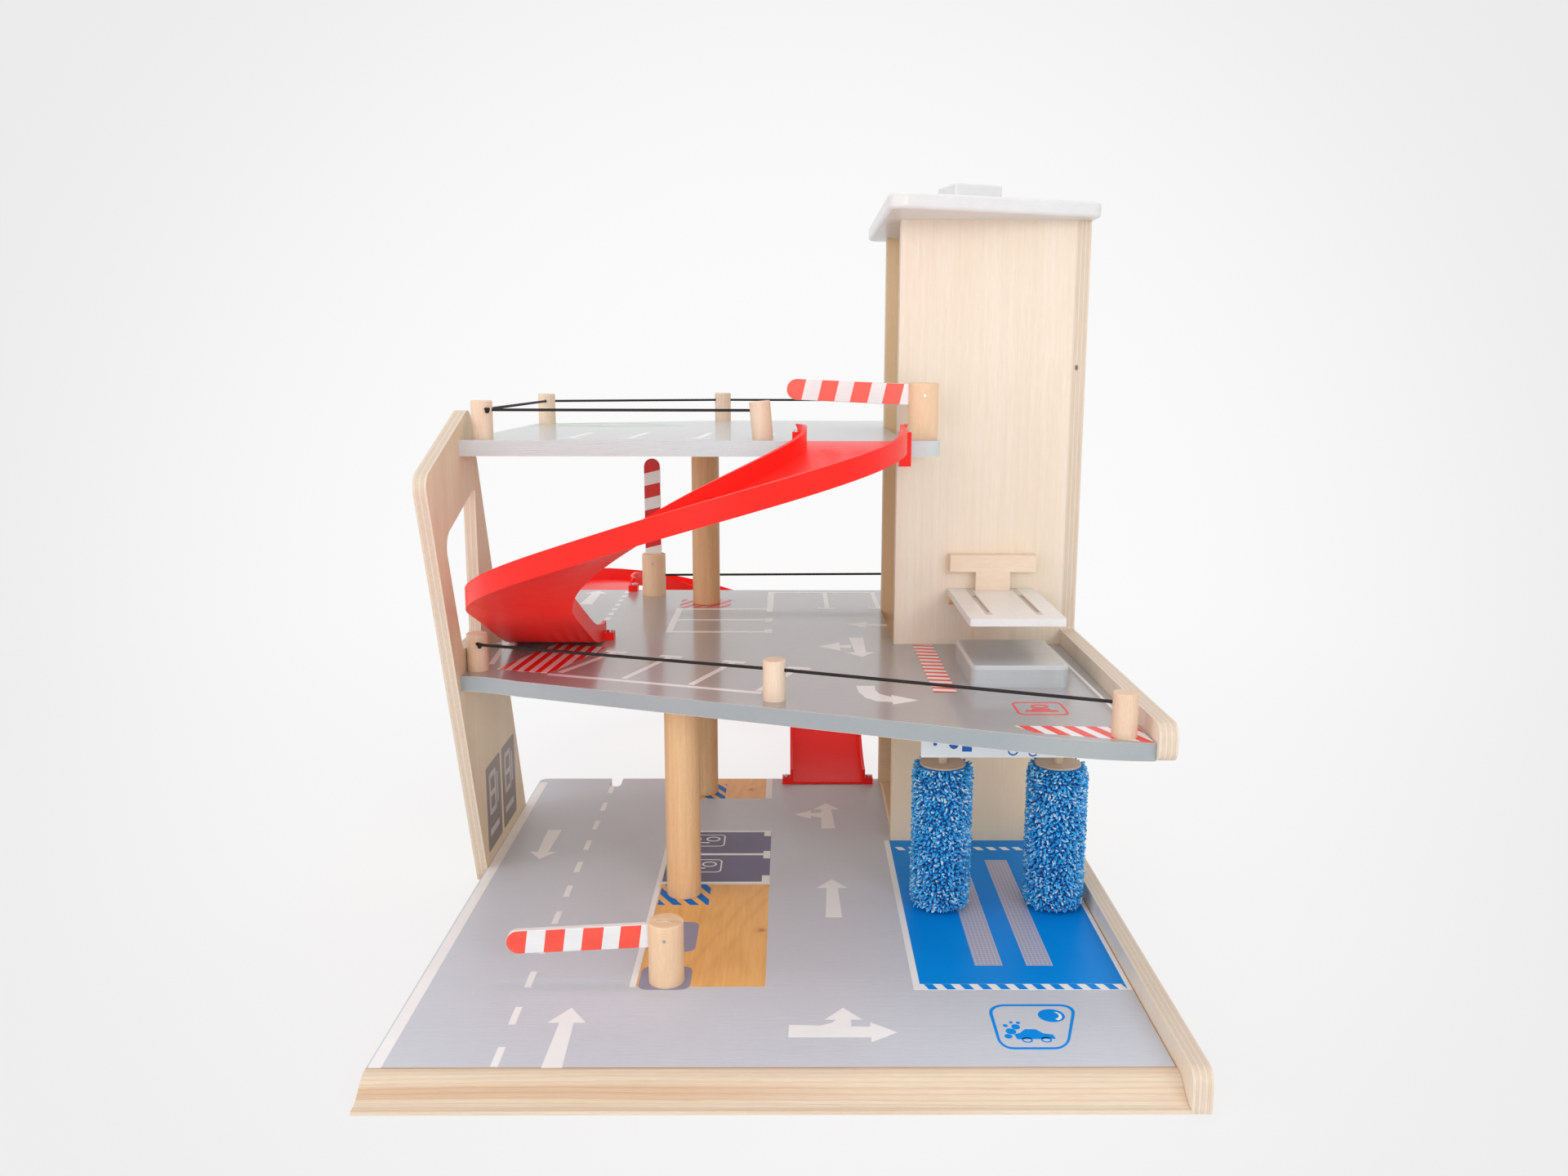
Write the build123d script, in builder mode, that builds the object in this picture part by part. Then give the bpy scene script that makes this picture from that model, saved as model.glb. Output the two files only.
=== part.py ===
# Toy parking garage: three plywood levels, two moulded ramps, a lift tower and a car wash.
# Millimetres, +Z up. The origin is the centre of the base board's underside.
# +X points to the tower's side, +Y points away from the front edge.
import os
from math import cos, pi, radians, sin

from build123d import *

os.makedirs("parts", exist_ok=True)

# Boards and levels
base_width = 500.0
base_depth = 540.0
board = 12.5
side_board = 10.0
level_rise = 184.0
board_gap = 0.2
edge_round = 0.6

left_x = -base_width / 2
right_x = base_width / 2
front_y = -base_depth / 2
back_y = base_depth / 2
ground_top = board
mid_top = ground_top + level_rise
upper_top = mid_top + level_rise
mid_underside = mid_top - board
upper_underside = upper_top - board

# Tower
tower_width_share = 0.294
tower_depth_share = 0.30278
tower_setback_share = 0.68333
tower_height = 546.5
tower_width = base_width * tower_width_share
tower_depth = base_depth * tower_depth_share
tower_left = right_x - tower_width
tower_front = front_y + base_depth * tower_setback_share
tower_back = tower_front + tower_depth
tower_top = ground_top + tower_height
shaft_front = tower_front + board
shaft_back = tower_back - board
shaft_middle_x = (tower_left + right_x) / 2
shaft_middle_y = (shaft_front + shaft_back) / 2

# Screws that hold posts, columns and panels from below
screw_radius = 1.75
screw_head_radius = 3.5
screw_length = 22.0
screw_gap = 0.1
countersink_angle = 90

# Columns, posts and pegs
column_radius = 14.0
post_radius = 12.5
post_height = 45.0
peg_radius = 8.5
peg_height = 30.5
peg_round = 1.0
tenon_radius = 4.0
tenon_length = 8.0
tenon_gap = 0.05
peg_lean_degrees = -5.0

# Elastic cords and the holes that they run through
cord_radius = 1.2
cord_gap = 0.3
cord_height = 23.0
post_cord_height = 21.5
knot_radius = 2.0
knot_turn_degrees = 15.0

# Barriers
arm_length = 111.5
arm_width = 17.0
arm_thickness = 5.0
arm_gap = 0.3
pin_radius = 1.2
pin_gap = 0.05
pin_height = 35.0
arm_drop_gap = 1.1
base_arm_degrees = -3.0
upper_arm_degrees = 2.5
back_arm_degrees = 90.0

# Car wash brushes
axle_radius = 3.75
axle_seat = 6.0
axle_gap = 0.05
brush_radius_share = 0.17007
brush_core_share = 0.72
brush_radius = tower_width * brush_radius_share
brush_core_radius = brush_radius * brush_core_share
brush_foot = 2.0
brush_height = 117.5
brush_backing = 0.8
brush_end_inset = 1.0
brush_spread_share = 0.61905
brush_spread = tower_width * brush_spread_share
brush_setback_share = 0.433
strand_width = 1.4
strand_rows = 20
strands_each_row = 10

# Winch under the roof
winch_radius = 4.0
winch_x_share = 0.842
winch_y_share = 0.833

# Places on the boards, as shares of the base board's width and depth
column_x_share = 0.348
lower_front_column_share = 0.474
lower_back_column_share = 0.926
upper_column_share = 1.041
base_barrier_shares = (0.348, 0.204)
upper_barrier_shares = (0.738, 0.5935)
back_barrier_shares = (0.229, 1.128)
mid_peg_shares = {
    "front_left": (0.018, 0.5065),
    "front_middle": (0.498, 0.340),
    "front_right": (0.965, 0.171),
    "back_right": (0.966, 1.136),
}
upper_peg_shares = {
    "front_left": (0.028, 0.5545),
    "front_middle": (0.477, 0.560),
    "back_left": (0.023, 1.071),
    "back_middle": (0.376, 1.199),
    "back_right": (0.966, 1.206),
}
panel_screw_inset_share = 0.25


def place(width_share, depth_share):
    """A point on the plan from its shares of the base board."""
    return (left_x + base_width * width_share, front_y + base_depth * depth_share)


lower_front_column_place = place(column_x_share, lower_front_column_share)
lower_back_column_place = place(column_x_share, lower_back_column_share)
upper_column_place = place(column_x_share, upper_column_share)
base_barrier_place = place(*base_barrier_shares)
upper_barrier_place = place(*upper_barrier_shares)
back_barrier_place = place(*back_barrier_shares)
mid_peg_places = {name: place(*shares) for name, shares in mid_peg_shares.items()}
upper_peg_places = {name: place(*shares) for name, shares in upper_peg_shares.items()}
brush_y = front_y + base_depth * brush_setback_share
brush_places = [(shaft_middle_x - brush_spread / 2, brush_y), (shaft_middle_x + brush_spread / 2, brush_y)]
winch_place = place(winch_x_share, winch_y_share)

panel_screw_inset = tower_width * panel_screw_inset_share
panel_screw_xs = [tower_left + panel_screw_inset, right_x - panel_screw_inset]
panel_screw_ys = [tower_front + board / 2, tower_back - board / 2]
panel_screw_places = [(x, y) for x in panel_screw_xs for y in panel_screw_ys]
base_screw_places = [lower_front_column_place, lower_back_column_place, base_barrier_place] + panel_screw_places
mid_screw_places = [upper_column_place, back_barrier_place]
upper_screw_places = [upper_barrier_place]

on_top = (Align.CENTER, Align.CENTER, Align.MIN)
hanging = (Align.CENTER, Align.CENTER, Align.MAX)


def add_tenon_socket(point, top, lean=0):
    """A blind hole for the tenon of a peg, cut into the board being built."""
    with Locations(Location((point[0], point[1], top), (0, lean, 0))):
        Cylinder(tenon_radius + tenon_gap, 2 * (tenon_length + board_gap), mode=Mode.SUBTRACT)


def add_screw_holes(places, bottom):
    """Countersunk screw holes that come up through the board being built."""
    for point in places:
        with Locations(Plane(origin=(point[0], point[1], bottom), z_dir=(0, 0, -1))):
            CounterSinkHole(screw_radius + screw_gap, screw_head_radius + screw_gap, board, countersink_angle)


def add_pilot_hole(point, foot):
    """The screw's own hole in the foot of the piece being built."""
    with Locations((point[0], point[1], foot)):
        Cylinder(screw_radius + screw_gap, screw_length - board + screw_gap, align=on_top, mode=Mode.SUBTRACT)


def add_rod(start, end, radius, mode=Mode.ADD):
    """A round rod, or a round hole, between two points."""
    reach = Vector(*end) - Vector(*start)
    with Locations(Plane(origin=start, z_dir=reach)):
        Cylinder(radius, reach.length, align=on_top, mode=mode)


def add_route(points, radius, mode=Mode.ADD):
    """A cord, or the hole for it, along a row of points."""
    with BuildLine() as path:
        Polyline(*points)
    with BuildSketch(Plane(origin=points[0], z_dir=Vector(*points[1]) - Vector(*points[0]))) as section:
        Circle(radius)
    sweep(sections=section.sketch, path=path.wires()[0], transition=Transition.RIGHT, mode=mode)


# Ramps: a moulded trough on a half turn with a short straight start and a long straight landing
ramp_radius_share = 0.253
ramp_half_width_share = 0.0776
ramp_radius = base_width * ramp_radius_share
ramp_half_width = base_width * ramp_half_width_share
ramp_wall = 3.0
ramp_wall_rise = 13.4
ramp_floor = 2.2
ramp_start_run = 43.5
ramp_landing_run = 158.6
ramp_ease_in = 271.6
ramp_ease_out = 80.0
ramp_flare = 5.5
ramp_flare_run = 22.0
ramp_flare_steps = 3
ramp_steps = 28
ramp_deck_gap = 0.3
ramp_start_share = 0.51667
ramp_centre_share = 0.3648
ramp_pair_shares = (0.356, 0.84815)
lug_width = 8.0
lug_length = 11.0
lug_height = 7.0
clip_web = 3.0
ramp_screw_radius = 1.4
ramp_screw_head_radius = 2.8
ramp_screw_head_height = 1.8
ramp_screw_reach = 8.0

ramp_arc_length = pi * ramp_radius
ramp_length = ramp_start_run + ramp_arc_length + ramp_landing_run
ramp_drop = level_rise - ramp_floor - ramp_deck_gap
ramp_slope = ramp_drop / (ramp_length - ramp_ease_in / 2 - ramp_ease_out / 2)
ramp_edge_y = front_y + base_depth * ramp_start_share
upper_ramp_start = (left_x + base_width * ramp_centre_share + ramp_radius, ramp_edge_y - ramp_deck_gap)
ramp_end = (upper_ramp_start[0] - 2 * ramp_radius, upper_ramp_start[1] - ramp_start_run + ramp_landing_run)
ramp_pair_centre = place(*ramp_pair_shares)
mid_back = 2 * ramp_pair_centre[1] - ramp_edge_y
lug_reach = ramp_half_width + lug_width / 2
upper_start_lugs = [(upper_ramp_start[0] + side * lug_reach, ramp_edge_y + lug_length / 2) for side in (-1, 1)]
upper_landing_lugs = [(ramp_end[0] + side * lug_reach, ramp_end[1] - lug_length / 2) for side in (-1, 1)]


def turned(point):
    """The same plan point on the lower ramp, half a turn about the pair's centre."""
    return (2 * ramp_pair_centre[0] - point[0], 2 * ramp_pair_centre[1] - point[1])


lower_start_lugs = [turned(point) for point in upper_start_lugs]
lower_landing_lugs = [turned(point) for point in upper_landing_lugs]


def ramp_descent(run):
    """How far the ramp's floor has dropped after a run along its centre line."""
    if run <= ramp_ease_in:
        return ramp_slope * run**2 / (2 * ramp_ease_in)
    if run <= ramp_length - ramp_ease_out:
        return ramp_slope * (run - ramp_ease_in / 2)
    left_over = ramp_length - run
    return ramp_drop - ramp_slope * left_over**2 / (2 * ramp_ease_out)


def ramp_plan(run):
    """Point and heading of the centre line seen from above, with the start at zero heading to -Y."""
    if run <= ramp_start_run:
        return 0.0, -run, -pi / 2
    if run <= ramp_start_run + ramp_arc_length:
        angle = (run - ramp_start_run) / ramp_radius
        return ramp_radius * (cos(angle) - 1), -ramp_start_run - ramp_radius * sin(angle), -pi / 2 - angle
    straight = run - ramp_start_run - ramp_arc_length
    return -2 * ramp_radius, -ramp_start_run + straight, -3 * pi / 2


def ramp_profile(run):
    """Cross-section of the trough: a floor between two walls that splay out at the start."""
    flare = ramp_flare * max(0.0, 1 - run / ramp_flare_run) ** 2
    outer = ramp_half_width
    inner = ramp_half_width - ramp_wall
    half = [(outer, -ramp_floor), (outer + flare, ramp_wall_rise), (inner + flare, ramp_wall_rise), (inner, 0)]
    return half + [(-x, z) for x, z in reversed(half)]


def ramp_plane(run, start, top):
    """Upright plane across the ramp's centre line for a ramp that starts at a deck's edge."""
    x, y, heading = ramp_plan(run)
    middle = (start[0] + x, start[1] + y, top - ramp_descent(run))
    return Plane(origin=middle, x_dir=(-sin(heading), cos(heading), 0), z_dir=(cos(heading), sin(heading), 0))


def add_ramp_screw_holes(places, top):
    """Pilot holes for the ramps' small screws, cut down into the board being built."""
    for point in places:
        with Locations((point[0], point[1], top)):
            Cylinder(ramp_screw_radius + screw_gap, ramp_screw_reach + screw_gap, align=hanging, mode=Mode.SUBTRACT)


def add_axle_seats(face, align):
    """Blind bearing holes for the two brush axles, cut into a board's face."""
    for point in brush_places:
        with Locations((point[0], point[1], face)):
            Cylinder(axle_radius + axle_gap, axle_seat + board_gap, align=align, mode=Mode.SUBTRACT)


# Base board: printed plywood with a rounded corner and a notch in its back edge
base_corner_round = 8.0
notch_width = 12.0
notch_depth = 25.0
notch_share = 0.160
notch_x = left_x + base_width * notch_share

with BuildPart() as base_board:
    with BuildSketch() as base_plan:
        Rectangle(base_width, base_depth)
        fillet(base_plan.vertices().sort_by_distance((left_x, back_y))[:1], base_corner_round)
        with Locations((notch_x, back_y)):
            SlotOverall(2 * notch_depth, notch_width, rotation=90, mode=Mode.SUBTRACT)
    extrude(amount=board)
    add_screw_holes(base_screw_places, 0)
    add_ramp_screw_holes(lower_landing_lugs, ground_top)
    add_axle_seats(ground_top, hanging)
base_board.part.label = "base_board"
export_step(base_board.part, "parts/base_board.step")

# Front ramp: a moulded strip that toy cars drive up
front_ramp_run = 29.0
front_ramp_lip = 2.5
hollow_run_share = 0.655
hollow_rise_share = 0.32
shoulder_run_share = 0.345
shoulder_rise_share = 0.80

with BuildPart() as front_ramp:
    with BuildSketch(Plane.YZ.offset(left_x)):
        toe = (front_y - front_ramp_run, front_ramp_lip)
        hollow = (front_y - front_ramp_run * hollow_run_share, board * hollow_rise_share)
        shoulder = (front_y - front_ramp_run * shoulder_run_share, board * shoulder_rise_share)
        with BuildLine():
            Polyline((front_y, board), (front_y, 0), (toe[0], 0), toe)
            Spline(toe, hollow, shoulder, (front_y, board))
        make_face()
    extrude(amount=base_width - board_gap)
front_ramp.part.label = "front_ramp"
export_step(front_ramp.part, "parts/front_ramp.step")

# Middle deck: its slanted front edge comes forward on the tower's side
mid_front_left_share = 0.46667
mid_front_right_share = 0.14259
mid_front_left = base_depth * mid_front_left_share
mid_front_right = base_depth * mid_front_right_share
mid_bend_left_share = 0.106
mid_bend_right_share = 0.824
mid_bend_left_drop_share = 0.10
mid_bend_right_drop_share = 0.12
deck_corner_round = 9.0
deck_right = right_x - board_gap

with BuildPart() as mid_deck:
    with BuildSketch(Plane.XY.offset(mid_underside)) as mid_plan:
        fall = mid_front_left - mid_front_right
        left_end = (left_x, front_y + mid_front_left)
        right_end = (deck_right, front_y + mid_front_right)
        left_bend = (left_x + base_width * mid_bend_left_share, left_end[1] - fall * mid_bend_left_drop_share)
        right_bend = (left_x + base_width * mid_bend_right_share, right_end[1] + fall * mid_bend_right_drop_share)
        slant = (right_bend[0] - left_bend[0], right_bend[1] - left_bend[1])
        with BuildLine():
            Spline(left_end, left_bend, tangents=[(1, 0), slant])
            Line(left_bend, right_bend)
            Spline(right_bend, right_end, tangents=[slant, (1, 0)])
            Polyline(right_end, (deck_right, tower_front), (tower_left, tower_front),
                     (tower_left, tower_back + board_gap), (deck_right, tower_back + board_gap),
                     (deck_right, mid_back), (left_x, mid_back), left_end)
        make_face()
        fillet(mid_plan.vertices().sort_by_distance((deck_right, mid_back))[:1], deck_corner_round)
        fillet(mid_plan.vertices().sort_by_distance((left_x, mid_back))[:1], deck_corner_round)
    extrude(amount=board)
    for point in mid_peg_places.values():
        add_tenon_socket(point, mid_top)
    add_screw_holes(mid_screw_places, mid_underside)
    add_ramp_screw_holes(upper_landing_lugs, mid_top)
    add_ramp_screw_holes(lower_start_lugs, mid_top)
    add_axle_seats(mid_underside, on_top)
mid_deck.part.label = "mid_deck"
export_step(mid_deck.part, "parts/mid_deck.step")

# Upper deck: a tongue runs in front of the tower and the back left corner is cut off
tongue_run = 27.0
tongue_round = 12.0
upper_back_share = 1.23148
cut_corner_shares = (0.38, 0.14815)
cut_corner_width = base_width * cut_corner_shares[0]
cut_corner_depth = base_depth * cut_corner_shares[1]

with BuildPart() as upper_deck:
    with BuildSketch(Plane.XY.offset(upper_underside)) as upper_plan:
        tongue_end = tower_left + tongue_run
        upper_back = front_y + base_depth * upper_back_share
        with BuildLine():
            Polyline((left_x, ramp_edge_y), (tongue_end, ramp_edge_y), (tongue_end, tower_front - board_gap),
                     (tower_left - board_gap, tower_front - board_gap), (tower_left - board_gap, tower_back + board_gap),
                     (deck_right, tower_back + board_gap), (deck_right, upper_back),
                     (left_x + cut_corner_width, upper_back), (left_x, upper_back - cut_corner_depth), close=True)
        make_face()
        fillet(upper_plan.vertices().sort_by_distance((tongue_end, ramp_edge_y))[:1], tongue_round)
        fillet(upper_plan.vertices().sort_by_distance((deck_right, upper_back))[:1], deck_corner_round)
        fillet(upper_plan.vertices().sort_by_distance((left_x + cut_corner_width, upper_back))[:1], deck_corner_round)
        fillet(upper_plan.vertices().sort_by_distance((left_x, upper_back - cut_corner_depth))[:1], deck_corner_round)
    extrude(amount=board)
    for name, point in upper_peg_places.items():
        add_tenon_socket(point, upper_top, peg_lean_degrees if name == "front_middle" else 0)
    add_screw_holes(upper_screw_places, upper_underside)
    add_ramp_screw_holes(upper_start_lugs, upper_top)
upper_deck.part.label = "upper_deck"
export_step(upper_deck.part, "parts/upper_deck.step")

# Right side panel: one sheet is the tower's right wall and the kerbs of two levels
rail_rise = 14.5
kerb_rise = 13.5
kerb_round = 9.0
inner_round = 3.0
kerb_setback = 5.0

with BuildPart() as right_side_panel:
    with BuildSketch(Plane.YZ.offset(right_x)) as right_outline:
        rail_front = front_y - front_ramp_run
        kerb_front = front_y + mid_front_right - kerb_setback
        rail_top = ground_top + rail_rise
        kerb_top = mid_top + kerb_rise
        with BuildLine():
            Polyline((rail_front, 0), (tower_back, 0), (tower_back, tower_top), (tower_front, tower_top),
                     (tower_front, kerb_top), (kerb_front, kerb_top), (kerb_front, mid_underside),
                     (tower_front, mid_underside), (tower_front, rail_top), (rail_front, rail_top), close=True)
        make_face()
        for corner in [(rail_front, rail_top), (kerb_front, kerb_top), (kerb_front, mid_underside)]:
            fillet(right_outline.vertices().sort_by_distance(corner)[:1], kerb_round)
        for corner in [(tower_front, kerb_top), (tower_front, mid_underside), (tower_front, rail_top)]:
            fillet(right_outline.vertices().sort_by_distance(corner)[:1], inner_round)
    extrude(amount=board)
right_side_panel.part.label = "right_side_panel"
export_step(right_side_panel.part, "parts/right_side_panel.step")

# Left side panel: a leaning sheet with a three-cornered window
left_foot_shares = (0.57593, 0.86667)
left_head_shares = (0.34074, 0.58519)
left_head_rise = 358.0
left_peak_rise = 406.0
left_round = 12.0
window_shares = (0.42222, 0.5963, 0.48889)
window_sill = 215.0
window_height = 125.0
window_shoulder_share = 0.752
window_rounds = (14.0, 4.0, 8.0, 8.0)

with BuildPart() as left_side_panel:
    with BuildSketch(Plane.YZ.offset(left_x - side_board)) as left_outline:
        foot_front, foot_back = [(front_y + base_depth * share, 0) for share in left_foot_shares]
        head_front, head_back = [(front_y + base_depth * share, rise)
                                 for share, rise in zip(left_head_shares, (left_head_rise, left_peak_rise))]
        window_front, window_back, window_foot = [front_y + base_depth * share for share in window_shares]
        window = [(window_front, window_sill + window_height * window_shoulder_share),
                  (window_back, window_sill + window_height), (window_back, window_sill), (window_foot, window_sill)]
        with BuildLine():
            Polyline(foot_front, head_front, head_back, foot_back, close=True)
        make_face()
        for corner in [head_front, head_back]:
            fillet(left_outline.vertices().sort_by_distance(corner)[:1], left_round)
        with BuildLine():
            Polyline(*window, close=True)
        make_face(mode=Mode.SUBTRACT)
        for corner, window_round in zip(window, window_rounds):
            fillet(left_outline.vertices().sort_by_distance(corner)[:1], window_round)
    extrude(amount=side_board)
left_side_panel.part.label = "left_side_panel"
export_step(left_side_panel.part, "parts/left_side_panel.step")

# Winch dimensions that the tower's panels and roof share
spindle_gap = 0.05
dowel_radius = 4.0
dowel_seat = 5.0
dowel_drop = 14.0
lead_run = 26.0
spool_core_radius = 7.0
lift_cord_radius = 1.0
lead_gap = 0.05
dowel_x = winch_place[0] + lead_run
dowel_z = tower_top - dowel_drop
lead_radius = dowel_radius + lift_cord_radius + lead_gap
lead_y = winch_place[1] - spool_core_radius - lift_cord_radius - lead_gap
drop_x = dowel_x + lead_radius

# Tower front panel: closed from the ground to the roof
with BuildPart() as tower_front_panel:
    with Locations((shaft_middle_x, tower_front + board / 2, ground_top)):
        Box(tower_width, board, tower_height, align=on_top)
    for point in panel_screw_places[0::2]:
        add_pilot_hole(point, ground_top)
    add_rod((dowel_x, shaft_front - dowel_seat, dowel_z), (dowel_x, shaft_front, dowel_z),
            dowel_radius + spindle_gap, Mode.SUBTRACT)
tower_front_panel.part.label = "tower_front_panel"
export_step(tower_front_panel.part, "parts/tower_front_panel.step")

# Tower back panel
with BuildPart() as tower_back_panel:
    with Locations((shaft_middle_x, tower_back - board / 2, ground_top)):
        Box(tower_width, board, tower_height, align=on_top)
    for point in panel_screw_places[1::2]:
        add_pilot_hole(point, ground_top)
    add_rod((dowel_x, shaft_back, dowel_z), (dowel_x, shaft_back + dowel_seat, dowel_z),
            dowel_radius + spindle_gap, Mode.SUBTRACT)
tower_back_panel.part.label = "tower_back_panel"
export_step(tower_back_panel.part, "parts/tower_back_panel.step")

# Tower roof: a white cap with a slanted front edge
roof_side_reach = 16.5
roof_back_reach = 17.5
roof_front_reach = 76.0
roof_slant = 56.0
roof_corner_round = 12.0
roof_edge_round = 3.0

with BuildPart() as tower_roof:
    with BuildSketch(Plane.XY.offset(tower_top)) as roof_plan:
        roof_left = tower_left - roof_side_reach
        roof_right = right_x + roof_side_reach
        roof_front = tower_front - roof_front_reach
        with BuildLine():
            Polyline((roof_left, roof_front), (roof_right, roof_front + roof_slant),
                     (roof_right, tower_back + roof_back_reach), (roof_left, tower_back + roof_back_reach), close=True)
        make_face()
        fillet(roof_plan.vertices(), roof_corner_round)
    extrude(amount=board)
    fillet(tower_roof.edges().group_by(Axis.Z)[-1], roof_edge_round)
    fillet(tower_roof.edges().group_by(Axis.Z)[0], roof_edge_round)
    add_rod((*winch_place, tower_top), (*winch_place, tower_top + board), winch_radius + spindle_gap, Mode.SUBTRACT)
tower_roof.part.label = "tower_roof"
export_step(tower_roof.part, "parts/tower_roof.step")

# Columns: turned dowels that carry the decks
column_round = 0.8
column_feet = {
    "lower_front_column": (lower_front_column_place, ground_top),
    "lower_back_column": (lower_back_column_place, ground_top),
    "upper_column": (upper_column_place, mid_top),
}

for name, (point, foot) in column_feet.items():
    with BuildPart() as column:
        with Locations((point[0], point[1], foot)):
            Cylinder(column_radius, level_rise - board, align=on_top)
        fillet(column.edges().filter_by(GeomType.CIRCLE), column_round)
        add_pilot_hole(point, foot)
    column.part.label = name
    export_step(column.part, f"parts/{name}.step")

# Ramps: one moulding lofted along its half turn, used twice
with BuildPart() as upper_ramp:
    flare_stations = [ramp_flare_run * step / ramp_flare_steps for step in range(ramp_flare_steps)]
    long_run = ramp_length - ramp_flare_run
    long_stations = [ramp_flare_run + long_run * step / ramp_steps for step in range(ramp_steps + 1)]
    for run in flare_stations + long_stations:
        with BuildSketch(ramp_plane(run, upper_ramp_start, upper_top)):
            with BuildLine():
                Polyline(*ramp_profile(run), close=True)
            make_face()
    loft()
    # The landing is trimmed flat where it lies on the deck below
    with Locations((ramp_end[0], ramp_end[1], mid_top + ramp_deck_gap)):
        Box(4 * ramp_half_width, 2 * ramp_landing_run, level_rise / 2, align=hanging, mode=Mode.SUBTRACT)
    # Clips grip the upper deck's edge on both sides of the trough
    lug_root = ramp_half_width - ramp_wall / 2
    for side in (-1, 1):
        with BuildSketch(Plane.YZ.offset(upper_ramp_start[0] + side * lug_root)):
            grip_back = ramp_edge_y + lug_length
            grip_front = ramp_edge_y - ramp_deck_gap - clip_web
            with Locations((grip_front, upper_top + lug_height)):
                Rectangle(grip_back - grip_front, board + ramp_deck_gap + 2 * lug_height, align=(Align.MIN, Align.MAX))
            with Locations((ramp_edge_y - ramp_deck_gap, upper_top)):
                Rectangle(grip_back - grip_front, board + ramp_deck_gap, align=(Align.MIN, Align.MAX), mode=Mode.SUBTRACT)
        extrude(amount=side * (lug_width + ramp_wall / 2))
        with BuildSketch(Plane.YZ.offset(ramp_end[0] + side * lug_root)):
            with Locations((ramp_end[1], mid_top)):
                Rectangle(lug_length, lug_height, align=(Align.MAX, Align.MIN))
        extrude(amount=side * (lug_width + ramp_wall / 2))
    for point, foot in [(p, upper_top) for p in upper_start_lugs] + [(p, mid_top) for p in upper_landing_lugs]:
        with Locations((point[0], point[1], foot)):
            Cylinder(ramp_screw_radius + screw_gap, lug_height, align=on_top, mode=Mode.SUBTRACT)
upper_ramp.part.label = "upper_ramp"
export_step(upper_ramp.part, "parts/upper_ramp.step")

half_turn = Location((2 * ramp_pair_centre[0], 2 * ramp_pair_centre[1], -level_rise), (0, 0, 180))
with BuildPart() as lower_ramp:
    add(upper_ramp.part.moved(half_turn))
lower_ramp.part.label = "lower_ramp"
export_step(lower_ramp.part, "parts/lower_ramp.step")

# Ramp screws: small pan heads through the lugs
ramp_screw_feet = [(point, upper_top) for point in upper_start_lugs]
ramp_screw_feet += [(point, mid_top) for point in upper_landing_lugs + lower_start_lugs]
ramp_screw_feet += [(point, ground_top) for point in lower_landing_lugs]

with BuildPart() as ramp_screws:
    for point, foot in ramp_screw_feet:
        with Locations((point[0], point[1], foot + lug_height)):
            Cylinder(ramp_screw_head_radius, ramp_screw_head_height, align=on_top)
            Cylinder(ramp_screw_radius, lug_height + ramp_screw_reach, align=hanging)
    fillet(ramp_screws.edges().filter_by(
        lambda edge: edge.geom_type == GeomType.CIRCLE and edge.radius > ramp_screw_radius
        and min(abs(edge.center().Z - foot - lug_height - ramp_screw_head_height) for _, foot in ramp_screw_feet) < screw_gap),
        ramp_screw_head_height / 2)
ramp_screws.part.label = "ramp_screws"
export_step(ramp_screws.part, "parts/ramp_screws.step")

# Board screws: countersunk from below into posts, columns and tower panels
board_screw_feet = [(point, 0) for point in base_screw_places]
board_screw_feet += [(point, mid_underside) for point in mid_screw_places]
board_screw_feet += [(point, upper_underside) for point in upper_screw_places]

with BuildPart() as board_screws:
    screw_head_height = screw_head_radius - screw_radius
    for point, foot in board_screw_feet:
        with Locations((point[0], point[1], foot)):
            Cone(screw_head_radius, screw_radius, screw_head_height, align=on_top)
            Cylinder(screw_radius, screw_length, align=on_top)
board_screws.part.label = "board_screws"
export_step(board_screws.part, "parts/board_screws.step")

# Barriers: a slotted post, a striped arm on a steel pin
post_round = 1.5
barriers = {
    "base": (base_barrier_place, ground_top, base_arm_degrees),
    "upper": (upper_barrier_place, upper_top, upper_arm_degrees),
    "back": (back_barrier_place, mid_top, back_arm_degrees),
}
cord_hole_radius = cord_radius + cord_gap
mid_back_route = [(*back_barrier_place, mid_top + post_cord_height),
                  (*mid_peg_places["back_right"], mid_top + cord_height)]

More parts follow.
